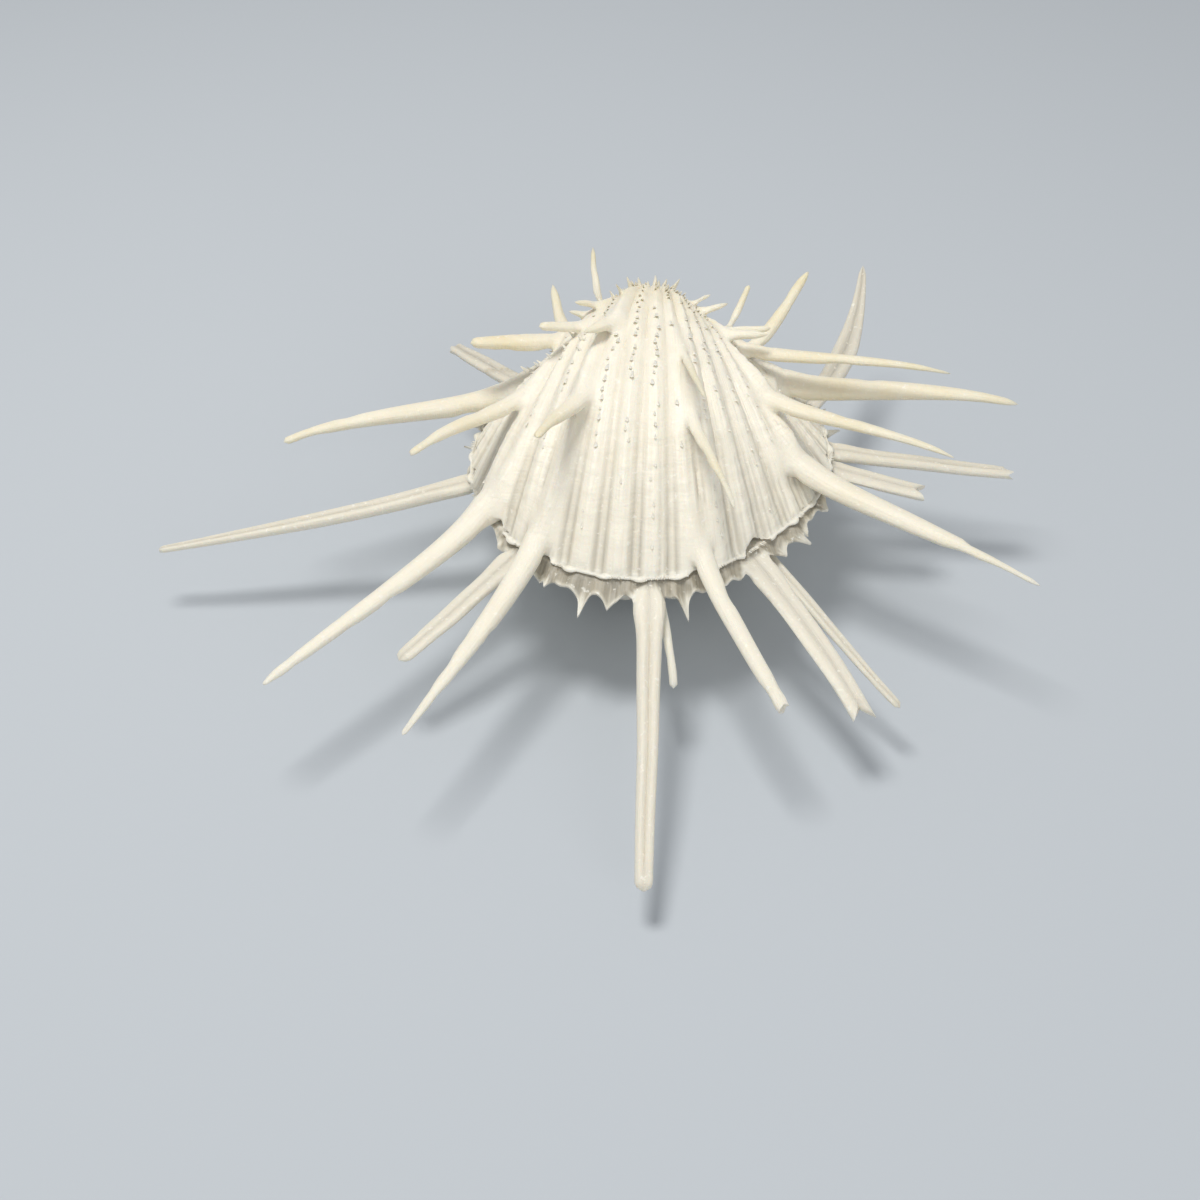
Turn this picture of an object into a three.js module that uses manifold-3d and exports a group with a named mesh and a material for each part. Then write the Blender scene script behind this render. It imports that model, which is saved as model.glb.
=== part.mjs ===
// Thorny oyster shell: two spiny valves closed on their hinge, with the ligament that holds them there.
// Millimetres. +Z is up, -Y is the open front of the shell, the hinge line runs along X at the back.
// The origin is in the flat scar under the lower valve, where the shell was cut from its rock.

import * as THREE from 'three';
import { mergeVertices } from 'three/addons/utils/BufferGeometryUtils.js';
import Module from 'manifold-3d';

const wasm = await Module();
wasm.setup();

// Driving dimensions
const shellWidth = 80.8;      // across the closed valves, without spines
const rimHeight = 28;         // height of the plane in which the valves meet
const hingeY = 32.6;          // the hinge line stands this far behind the origin
const frontStretch = 1.09;    // the valves are a little longer than they are wide
const hingeShare = 0.875;     // middle of the round outline, in front of the hinge, as a share of its radius
const skew = 0.06;            // how far the outline leans to one side
// the rim is set in a little to the right of the front
const flattening = { share: 0.033, angle: 22, spread: 13 };
const leftNarrowing = 0.06;   // the valves narrow towards their beaks, more on the right than on the left
const rightNarrowing = 0.26;
const leftFullness = 0.06;    // the left flank bulges a little between beak and rim
const rimGap = 0.3;           // clear space between the closed valves
const scarHeight = 0;         // the lower valve is cut flat here

const outlineRadius = shellWidth / 2;
const outlineCentre = hingeShare * outlineRadius;

// A valve grows round its hinge line: turn sets how far it curls and law how evenly it does so.
// wall holds the cavity's size as a share of the valve, and cavityShift moves it to the front.
const upperValve = {
  name: 'upper_valve', side: 1, turn: 1.17, law: 0.04, firstGrowth: 0.1,
  wall: [0.89, 0.89, 0.88], cavityShift: -1.6,
};
const lowerValve = {
  name: 'lower_valve', side: -1, turn: 1.72, law: 1, firstGrowth: 0.04,
  wall: [0.88, 0.88, 0.8], cavityShift: -1.4,
};
const outerGrid = { rows: 12, columns: 36 };
const innerGrid = { rows: 8, columns: 20 };

// The lower valve's thin frill stands out past the upper valve along the front, and dies away at the
// sides as a bell curve round its widest angle.
const frill = {
  reach: 5.8, widestAngle: -3, spread: 23, fromAngle: -62, toAngle: 70, columns: 54,
  rootDepth: 3, rootDrop: 1.2, dropPerMm: 0.4, rootThickness: 2.6, edgeThickness: 1.1,
  waveHeight: 0.55, waveAngle: 6.5,
};

// Spines. rib: angle round the hinge in degrees, 0 at the front and positive to the right.
// age: share of the valve's growth at which an upper spine left the rim of that time.
// out, down: where a lower spine leaves the frill, in mm past and below the rim.
// heading and lift: direction of the tip from the root; sway and arch: how much further its end bends.
// width: across the spine at its root, middle and tip.
const upperSpines = [
  { rib: -19, age: 0.68, heading: -24, lift: 8, length: 24.5, sway: 4, arch: -8, width: [5.3, 3.6, 1.6] },
  { rib: -15, age: 0.5, heading: -40, lift: 12, length: 12, sway: 0, arch: -5, width: [5.6, 3.8, 0.7] },
  { rib: 6, age: 0.58, heading: 8, lift: 8.5, length: 25.5, sway: 4, arch: -10, width: [2.2, 1.6, 0.8] },
  { rib: 6, age: 0.72, heading: 11, lift: 3, length: 37, sway: 0, arch: -12, width: [3.2, 2, 0.8] },
  { rib: -57, age: 0.77, heading: -64.5, lift: 2, length: 56.5, sway: 8, arch: -6, width: [7.4, 5, 1.9] },
  { rib: -39, age: 0.71, heading: -40.5, lift: 4, length: 36.5, sway: 10, arch: -8, width: [5, 3.8, 2] },
  { rib: -43, age: 0.5, heading: -69, lift: 9.5, length: 23.5, sway: 0, arch: 0, width: [4.6, 5.2, 2.9] },
  { rib: -29, age: 0.49, heading: -59, lift: 16, length: 12.5, sway: 0, arch: 0, width: [3.4, 3.2, 2.4] },
  { rib: -28, age: 0.39, heading: -48, lift: 26.5, length: 10, sway: 0, arch: 0, width: [2.8, 2, 1.1] },
  { rib: -34, age: 0.42, heading: -68, lift: 25, length: 6, sway: 0, arch: 0, width: [2.8, 2, 1.1] },
  { rib: -56, age: 0.46, heading: -158.5, lift: 24.5, length: 18, sway: -8, arch: 6, width: [3.8, 2.9, 1.4] },
  { rib: -36, age: 0.34, heading: -167.5, lift: 42.5, length: 15.5, sway: -10, arch: 12,
    width: [2.2, 1.6, 0.9] },
  { rib: -17, age: 0.38, heading: -34.5, lift: 52, length: 6, sway: 0, arch: 0, width: [1.8, 1.2, 0.7] },
  { rib: 23, age: 0.35, heading: 65, lift: 37.5, length: 6.5, sway: 0, arch: 0, width: [2, 1.4, 0.9] },
  { rib: 28, age: 0.38, heading: 73.5, lift: 26.5, length: 9, sway: 0, arch: 0, width: [2.6, 1.8, 1.1] },
  { rib: 44, age: 0.46, heading: 145, lift: 34, length: 14.5, sway: 0, arch: 0, width: [2.1, 1.7, 1.2] },
  { rib: 38, age: 0.45, heading: 79.5, lift: 8.5, length: 12.5, sway: 0, arch: 0, width: [2.6, 2.2, 1.5] },
  { rib: 33, age: 0.49, heading: 67, lift: 11.5, length: 11.5, sway: 0, arch: 0, width: [3.6, 2.8, 1.6] },
  { rib: 54, age: 0.56, heading: 136, lift: 26, length: 29, sway: -8, arch: 10, width: [4.2, 3.1, 1.9] },
  { rib: 44, age: 0.52, heading: 68, lift: 5, length: 51, sway: 6, arch: -11, width: [4.8, 3.2, 1.1] },
  { rib: 57, age: 0.72, heading: 73, lift: 4, length: 58, sway: 6, arch: -14, width: [8.6, 5.8, 1.7] },
  { rib: 32, age: 0.7, heading: 50.5, lift: 4.5, length: 50, sway: -2, arch: -6, width: [5.4, 3.2, 1.1] },
  { rib: 31, age: 0.87, heading: 51.5, lift: -5, length: 62.5, sway: -3, arch: 0, width: [7, 5, 1.7] },
  { rib: 5.5, age: 0.96, heading: 19, lift: -8, length: 45, sway: 4, arch: -4, width: [4.6, 3.8, 3] },
  { rib: -21.5, age: 0.95, heading: -25.5, lift: -8, length: 59.5, sway: -2, arch: 0,
    width: [5.8, 4.2, 1] },
  { rib: -34, age: 0.95, heading: -39.5, lift: -6, length: 69, sway: 0, arch: 0, width: [6.8, 4.3, 2] },
];
const lowerSpines = [
  { rib: -74, out: -2.5, down: 0, heading: -140, lift: -7, length: 34, sway: 0, arch: 0,
    width: [5.4, 5.4, 4.2] },
  { rib: -44.5, out: 0, down: 0.5, heading: -83, lift: -10, length: 72.5, sway: -4, arch: 0,
    width: [5.4, 4.3, 1.9] },
  { rib: -25, out: 3.5, down: 0, heading: -45, lift: -15, length: 32, sway: 0, arch: 0, width: [5, 5.2, 3.7] },
  { rib: -3, out: 4.5, down: 0, heading: -2, lift: -15, length: 64.5, sway: 0, arch: -6,
    width: [5.6, 4.2, 3.4] },
  { rib: -1.5, out: -2, down: 3, heading: 8, lift: -24, length: 24, sway: -6, arch: -20, width: [2.2, 1.8, 1.7] },
  { rib: 14.5, out: 3.5, down: 0, heading: 28, lift: -14.5, length: 41.5, sway: -4, arch: -4,
    width: [6, 5.8, 4.9] },
  { rib: 19, out: -2, down: 4, heading: 36, lift: -15.5, length: 46.5, sway: 4, arch: -4,
    width: [3, 2.7, 1.9] },
  { rib: 45, out: -0.5, down: 1, heading: 78, lift: -10, length: 23, sway: 0, arch: 0, width: [5, 5.8, 5.2] },
  { rib: 50, out: 0, down: 0.5, heading: 86, lift: -6, length: 43, sway: 4, arch: -2,
    width: [4.8, 4.2, 3.7] },
  { rib: 66, out: 0, down: 1, heading: 159, lift: 9, length: 57, sway: 14, arch: 30, width: [5.2, 6.6, 1.5] },
];
const stoutWidth = 3.7;        // a spine with a wider root than this has 8 sides, a finer one 6
const spineStep = 8;           // length of spine to each ring of corners
const spineThickness = 0.72;   // thickness of a spine as a share of its width
const rootPull = 0.24;         // how long a spine follows its starting direction
const tipPull = 0.36;
const growthPull = 0.45;       // how much of the rim's own growth direction a spine starts with
const rootSink = 1.2;          // a spine starts this far inside the valve

const ligament = { x: 0, y: hingeY - 1.6, halfSize: [4.4, 2.4, 1.9], clearance: 0.35 };

const materials = {
  valve: new THREE.MeshStandardMaterial({ color: 0xf4efdc, roughness: 0.55, metalness: 0 }),
  ligament: new THREE.MeshStandardMaterial({ color: 0x3a2415, roughness: 0.6, metalness: 0 }),
};

const radians = THREE.MathUtils.degToRad;

// Distance from the middle of the hinge line to the rim, at an angle in radians: the far side of a
// circle that the hinge line cuts, leaning a little to one side and flattened at one place.
function rimReach(angle) {
  const acrossCircle = outlineCentre * Math.sin(angle);
  const round = outlineCentre * Math.cos(angle) + Math.sqrt(outlineRadius ** 2 - acrossCircle ** 2);
  const away = (THREE.MathUtils.radToDeg(angle) - flattening.angle) / flattening.spread;
  return round * (1 - skew * Math.sin(2 * angle)) * (1 - flattening.share * Math.exp(-(away ** 2)));
}

// A point of a valve's outer surface: the rim of age growth, swung round the hinge line.
function growthPoint(valve, growth, angle) {
  const swing = valve.turn * (1 - growth ** valve.law) / valve.law;
  const reach = growth * rimReach(angle);
  const narrowing = growth ** (angle < 0 ? leftNarrowing : rightNarrowing);
  const fullness = angle < 0 ? 1 + leftFullness * 4 * growth * (1 - growth) : 1;
  const across = reach * Math.sin(angle) * narrowing * fullness;
  const forward = frontStretch * reach * Math.cos(angle);
  const height = valve.side * forward * Math.sin(swing);
  return new THREE.Vector3(across, hingeY - forward * Math.cos(swing), rimHeight + height);
}

function solidFrom(points, triangles) {
  const vertProperties = new Float32Array(points.flatMap((point) => point.toArray()));
  const make = (corners) => new wasm.Manifold(new wasm.Mesh({
    numProp: 3, vertProperties, triVerts: new Uint32Array(corners),
  }));
  const solid = make(triangles);
  return solid.volume() > 0 ? solid : make(triangles.toReversed());
}

function solidFromGeometry(geometry) {
  const bare = geometry.index ? geometry.clone() : geometry;
  bare.deleteAttribute('normal');
  bare.deleteAttribute('uv');
  const merged = mergeVertices(bare, 1e-4);
  return new wasm.Manifold(new wasm.Mesh({
    numProp: 3,
    vertProperties: new Float32Array(merged.attributes.position.array),
    triVerts: new Uint32Array(merged.index.array),
  }));
}

function geometryFromSolid(solid) {
  const mesh = solid.getMesh();
  const geometry = new THREE.BufferGeometry();
  geometry.setAttribute('position', new THREE.Float32BufferAttribute(mesh.vertProperties, 3));
  geometry.setIndex(Array.from(mesh.triVerts));
  const flat = geometry.toNonIndexed();
  flat.computeVertexNormals();
  return flat;
}

// Two triangles for each cell between neighbouring rows of a grid whose points are stored row by row.
function gridTriangles(rows, columns) {
  const triangles = [];
  for (let row = 0; row < rows; row += 1) {
    for (let column = 0; column < columns; column += 1) {
      const corner = row * (columns + 1) + column;
      const above = corner + columns + 1;
      triangles.push(corner, corner + 1, above + 1, corner, above + 1, above);
    }
  }
  return triangles;
}

function fan(centre, loop) {
  return loop.flatMap((corner, index) => {
    const next = loop[(index + 1) % loop.length];
    return corner === centre || next === centre ? [] : [centre, corner, next];
  });
}

// The full valve before it is hollowed: its outer surface, closed by the flat rim plane and, at the
// beak, by the half disc of its first growth.
function valveBlank(valve, grid) {
  const points = [];
  for (let row = 0; row <= grid.rows; row += 1) {
    const growth = valve.firstGrowth ** (1 - row / grid.rows);
    for (let column = 0; column <= grid.columns; column += 1) {
      points.push(growthPoint(valve, growth, radians(-90 + 180 * column / grid.columns)));
    }
  }
  const corner = (row, column) => row * (grid.columns + 1) + column;
  const columns = [...Array(grid.columns + 1).keys()];
  const rows = [...Array(grid.rows).keys()];
  const beakLoop = columns.map((column) => corner(0, column)).reverse();
  const rimLoop = [
    ...columns.map((column) => corner(grid.rows, column)),
    ...rows.map((row) => corner(grid.rows - 1 - row, grid.columns)),
    ...rows.map((row) => corner(row, 0)),
  ];
  return solidFrom(points, [
    ...gridTriangles(grid.rows, grid.columns),
    ...fan(corner(0, grid.columns / 2), beakLoop),
    ...fan(corner(grid.rows, grid.columns / 2), rimLoop),
  ]);
}

// The valve's hollow: the blank made smaller about the middle of the rim, and moved a little past the
// rim plane so that it opens there.
function valveCavity(valve) {
  const [wide, long, high] = valve.wall;
  const middleY = hingeY - frontStretch * outlineCentre;
  return valveBlank(valve, innerGrid)
    .translate([0, -middleY, -rimHeight])
    .scale([wide, long, high])
    .translate([0, middleY + valve.cavityShift, rimHeight - valve.side * 0.4]);
}

// A block under or over the rim plane, inside the rim's outline, that trims spines off the other valve.
function outlineBlock(fromHeight, toHeight) {
  const shape = new THREE.Shape();
  for (let column = 0; column <= outerGrid.columns; column += 1) {
    const point = growthPoint(upperValve, 1, radians(-90 + 180 * column / outerGrid.columns));
    if (column === 0) shape.moveTo(point.x, point.y);
    else shape.lineTo(point.x, point.y);
  }
  shape.lineTo(outlineRadius, hingeY + outlineRadius);
  shape.lineTo(-outlineRadius, hingeY + outlineRadius);
  const geometry = new THREE.ExtrudeGeometry(shape, { depth: toHeight - fromHeight, bevelEnabled: false });
  geometry.translate(0, 0, fromHeight);
  return solidFromGeometry(geometry);
}

function direction(heading, lift) {
  const level = Math.cos(radians(lift));
  return new THREE.Vector3(
    level * Math.sin(radians(heading)), -level * Math.cos(radians(heading)), Math.sin(radians(lift)));
}

// The level direction straight out from the rim at an angle.
function rimOutward(angle) {
  const along = growthPoint(lowerValve, 1, angle + 0.01).sub(growthPoint(lowerValve, 1, angle - 0.01));
  return new THREE.Vector3(along.y, -along.x, 0).normalize();
}

// A point on the middle of the frill, out mm past the rim.
function frillPoint(angle, out) {
  const point = growthPoint(lowerValve, 1, angle).addScaledVector(rimOutward(angle), out);
  point.z -= frill.rootDrop + frill.dropPerMm * out;
  return point;
}

function upperRoot(spine) {
  const angle = radians(spine.rib);
  const point = growthPoint(upperValve, spine.age, angle);
  const growing = point.clone().sub(growthPoint(upperValve, spine.age * 0.98, angle)).normalize();
  return { point, growing };
}

function lowerRoot(spine) {
  const angle = radians(spine.rib);
  const point = frillPoint(angle, spine.out);
  const growing = frillPoint(angle, spine.out + 1).sub(point).normalize();
  point.z -= spine.down;
  return { point, growing };
}

// A spine's middle line: it leaves along the rim's growth and bends over to its own direction.
function spineCurve(spine, root) {
  const aim = direction(spine.heading, spine.lift);
  const tip = root.point.clone().addScaledVector(aim, spine.length);
  const start = root.growing.clone().multiplyScalar(growthPull).addScaledVector(aim, 1 - growthPull);
  start.normalize();
  const end = direction(spine.heading + spine.sway, spine.lift + spine.arch);
  return new THREE.CubicBezierCurve3(
    root.point.clone().addScaledVector(start, -rootSink),
    root.point.clone().addScaledVector(start, rootPull * spine.length),
    tip.clone().addScaledVector(end, -tipPull * spine.length),
    tip,
  );
}

function spineWidth(spine, share) {
  const [root, middle, tip] = spine.width;
  const mix = THREE.MathUtils.lerp;
  return share < 0.5 ? mix(root, middle, share * 2) : mix(middle, tip, share * 2 - 1);
}

function spineSolid(spine, root) {
  const curve = spineCurve(spine, root);
  const steps = Math.ceil(spine.length / spineStep) + 2;
  const sides = spine.width[0] > stoutWidth ? 8 : 6;
  const points = [];
  for (let step = 0; step <= steps; step += 1) {
    const share = step / steps;
    const forward = curve.getTangent(share);
    const sideways = new THREE.Vector3(forward.y, -forward.x, 0).normalize();
    const upward = new THREE.Vector3().crossVectors(sideways, forward);
    for (let side = 0; side < sides; side += 1) {
      const turn = 2 * Math.PI * side / sides;
      points.push(curve.getPoint(share)
        .addScaledVector(sideways, spineWidth(spine, share) / 2 * Math.cos(turn))
        .addScaledVector(upward, spineThickness * spineWidth(spine, share) / 2 * Math.sin(turn)));
    }
  }
  const triangles = [];
  for (let step = 0; step < steps; step += 1) {
    for (let side = 0; side < sides; side += 1) {
      const corner = step * sides + side;
      const beside = step * sides + (side + 1) % sides;
      triangles.push(corner, corner + sides, beside, beside, corner + sides, beside + sides);
    }
  }
  const ring = [...Array(sides).keys()];
  const lastRing = ring.map((side) => steps * sides + side).reverse();
  triangles.push(...fan(0, ring), ...fan(lastRing[0], lastRing));
  return solidFrom(points, triangles);
}

// The frill: a thin wavy flange that starts inside the lower valve's wall and is widest at the front.
function frillSolid() {
  const points = [];
  const corners = 6;
  for (let column = 0; column <= frill.columns; column += 1) {
    const degrees = THREE.MathUtils.lerp(frill.fromAngle, frill.toAngle, column / frill.columns);
    const reach = frill.reach * Math.exp(-0.5 * ((degrees - frill.widestAngle) / frill.spread) ** 2);
    const wave = frill.waveHeight * Math.cos(2 * Math.PI * degrees / frill.waveAngle);
    const section = [
      [-frill.rootDepth, frill.rootThickness / 2], [reach * 0.45, frill.edgeThickness * 0.7 + wave * 0.4],
      [reach, frill.edgeThickness / 2 + wave], [reach, -frill.edgeThickness / 2 + wave],
      [reach * 0.45, -frill.edgeThickness + wave * 0.4], [-frill.rootDepth, -frill.rootThickness / 2 - 1.5],
    ];
    section.forEach(([out, rise]) => {
      const point = frillPoint(radians(degrees), out);
      point.z = Math.min(point.z, rimHeight - rimGap - frill.rootThickness / 2) + rise;
      points.push(point);
    });
  }
  const triangles = [];
  for (let column = 0; column < frill.columns; column += 1) {
    for (let side = 0; side < corners; side += 1) {
      const corner = column * corners + side;
      const beside = column * corners + (side + 1) % corners;
      triangles.push(corner, corner + corners, beside, beside, corner + corners, beside + corners);
    }
  }
  const ring = [...Array(corners).keys()];
  const lastRing = ring.map((side) => frill.columns * corners + side).reverse();
  triangles.push(...fan(0, ring), ...fan(lastRing[0], lastRing));
  return solidFrom(points, triangles);
}

function ligamentSolid(margin) {
  const geometry = new THREE.SphereGeometry(1, 14, 8);
  geometry.scale(...ligament.halfSize.map((half) => half + margin));
  geometry.translate(ligament.x, ligament.y, rimHeight);
  return solidFromGeometry(geometry);
}

function upperValveSolid() {
  const blank = valveBlank(upperValve, outerGrid);
  const spined = upperSpines.reduce((whole, spine) => whole.add(spineSolid(spine, upperRoot(spine))), blank);
  return spined
    .subtract(valveCavity(upperValve))
    .subtract(outlineBlock(scarHeight, rimHeight + rimGap / 2))
    .subtract(ligamentSolid(ligament.clearance));
}

function lowerValveSolid() {
  const frilled = valveBlank(lowerValve, outerGrid).add(frillSolid());
  const spined = lowerSpines.reduce((whole, spine) => whole.add(spineSolid(spine, lowerRoot(spine))), frilled);
  return spined
    .subtract(valveCavity(lowerValve))
    .subtract(outlineBlock(rimHeight - rimGap / 2, 2 * rimHeight))
    .subtract(ligamentSolid(ligament.clearance))
    .trimByPlane([0, 0, 1], scarHeight);
}

function namedMesh(name, solid, material) {
  const mesh = new THREE.Mesh(geometryFromSolid(solid), material);
  mesh.name = name;
  return mesh;
}

const shell = new THREE.Group();
shell.add(
  namedMesh(upperValve.name, upperValveSolid(), materials.valve),
  namedMesh(lowerValve.name, lowerValveSolid(), materials.valve),
  namedMesh('hinge_ligament', ligamentSolid(0), materials.ligament),
);

export default shell;
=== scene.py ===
import math
import bpy
import numpy as np
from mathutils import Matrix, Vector


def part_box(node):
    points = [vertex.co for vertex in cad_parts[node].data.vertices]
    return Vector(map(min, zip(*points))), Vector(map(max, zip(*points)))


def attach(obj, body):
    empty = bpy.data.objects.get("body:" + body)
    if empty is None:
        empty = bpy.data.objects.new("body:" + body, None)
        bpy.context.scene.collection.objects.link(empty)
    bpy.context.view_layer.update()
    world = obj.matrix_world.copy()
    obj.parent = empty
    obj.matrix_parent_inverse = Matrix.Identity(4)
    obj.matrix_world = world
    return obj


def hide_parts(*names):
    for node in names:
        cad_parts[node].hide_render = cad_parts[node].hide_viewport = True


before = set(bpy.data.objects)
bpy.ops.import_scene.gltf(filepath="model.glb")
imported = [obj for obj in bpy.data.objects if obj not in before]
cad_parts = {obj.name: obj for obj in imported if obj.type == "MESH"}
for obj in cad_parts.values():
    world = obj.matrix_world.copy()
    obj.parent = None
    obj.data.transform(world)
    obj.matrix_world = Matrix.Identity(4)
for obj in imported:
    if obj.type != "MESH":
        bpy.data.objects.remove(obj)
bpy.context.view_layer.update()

mm = 0.001

# The ligament lies on the rim plane and just in front of the hinge line, so both are read from it.
ligamentLow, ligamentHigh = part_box("hinge_ligament")
ligamentMiddle = (ligamentLow + ligamentHigh) / 2 / mm
rimHeight = ligamentMiddle.z
ligamentLead = 1.6
hingeY = ligamentMiddle.y + ligamentLead

# Outline and growth of the shell, in millimetres and degrees
shell = {
    "width": 80.8, "hingeShare": 0.875, "frontStretch": 1.09, "skew": 0.06,
    "flatShare": 0.033, "flatAngle": 22, "flatSpread": 13,
    "leftNarrowing": 0.06, "rightNarrowing": 0.26, "leftFullness": 0.06, "rimGap": 0.3, "pocketGap": 0.35,
}
# side: 1 opens upwards. turn and law: how far and how fast the rim swung round the hinge as it grew.
# wall and shift: the hollow as a share of the outside, and how far it is moved from the hinge line.
upperValve = {
    "side": 1, "turn": 1.17, "law": 0.04, "firstGrowth": 0.1, "wall": (0.89, 0.89, 0.88), "shift": -1.6,
}
lowerValve = {
    "side": -1, "turn": 1.72, "law": 1, "firstGrowth": 0.04, "wall": (0.88, 0.88, 0.8), "shift": -1.4,
}


def rimReach(angle):
    # hinge to rim: the far side of a circle cut by the hinge line, leaning a little and flattened
    # at one place
    radius = shell["width"] / 2
    centre = shell["hingeShare"] * radius
    reach = centre * np.cos(angle) + np.sqrt(radius**2 - (centre * np.sin(angle))**2)
    away = (np.degrees(angle) - shell["flatAngle"]) / shell["flatSpread"]
    return reach * (1 - shell["skew"] * np.sin(2 * angle)) * (1 - shell["flatShare"] * np.exp(-away**2))


def growthPoint(valve, growth, angle):
    # the rim made smaller by growth and swung round the hinge line; the sides narrow as a power of growth
    swing = valve["turn"] * (1 - growth**valve["law"]) / valve["law"]
    reach = growth * rimReach(angle)
    left = angle < 0
    narrow = growth**np.where(left, shell["leftNarrowing"], shell["rightNarrowing"])
    full = np.where(left, 1 + shell["leftFullness"] * 4 * growth * (1 - growth), 1)
    forward = shell["frontStretch"] * reach * np.cos(angle)
    return np.stack([reach * np.sin(angle) * narrow * full,
                     hingeY - forward * np.cos(swing),
                     rimHeight + valve["side"] * forward * np.sin(swing)], -1)


def growthOf(valve, points):
    # the way back: swing from the angle round the hinge line, growth from the swing, rib angle from the slope
    back, rise = hingeY - points[:, 1], valve["side"] * (points[:, 2] - rimHeight)
    swing = np.clip(np.arctan2(rise, np.maximum(back, 0.01)), 0, 1.56)
    growth = np.clip(1 - valve["law"] * swing / valve["turn"], 0.01, 1)**(1 / valve["law"])
    forward = np.maximum(np.hypot(back, rise), 0.01)
    left = points[:, 0] < 0
    narrow = growth**np.where(left, shell["leftNarrowing"], shell["rightNarrowing"])
    full = np.where(left, 1 + shell["leftFullness"] * 4 * growth * (1 - growth), 1)
    return growth, np.degrees(np.arctan(points[:, 0] * shell["frontStretch"] / (forward * narrow * full)))


def unit(vectors):
    # the same directions with length one
    return vectors / np.maximum(np.linalg.norm(vectors, axis=-1, keepdims=True), 1e-9)


def rimMiddle(height):
    # the middle of the circle that the rim is part of, at a height
    return np.array([0, hingeY - shell["frontStretch"] * shell["hingeShare"] * shell["width"] / 2, height])


def surfaceFrame(valve, growth, angle):
    # point, growth direction, direction along the rim and outward normal, from small differences
    small = 1e-3
    growth, angle = np.broadcast_arrays(np.asarray(growth, float), np.asarray(angle, float))
    along = growthPoint(valve, growth, angle + small) - growthPoint(valve, growth, angle - small)
    growing = (growthPoint(valve, growth * (1 + small), angle)
               - growthPoint(valve, growth * (1 - small), angle))
    normal = unit(np.cross(growing, along)) * valve["side"]
    return growthPoint(valve, growth, angle), normal, unit(growing), unit(along)


def ripple(seed, *axes):
    # smooth noise from about -1 to 1: the scaled sum of seven sine waves in random directions
    random = np.random.default_rng(seed)
    total = 0
    for _ in range(7):
        turn = random.uniform(0, 2 * math.pi, 1 + len(axes))
        rate = random.uniform(0.6, 1.7)
        total = total + np.sin(sum(rate * np.cos(turn[i]) * axes[i] for i in range(len(axes))) + turn[-1])
    return total / 4.2


def smooth(low, high, value):
    # 0 below low, 1 above high and a soft step between; low may be the larger one
    share = np.clip((value - low) / (high - low), 0, 1)
    return share * share * (3 - 2 * share)


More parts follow.
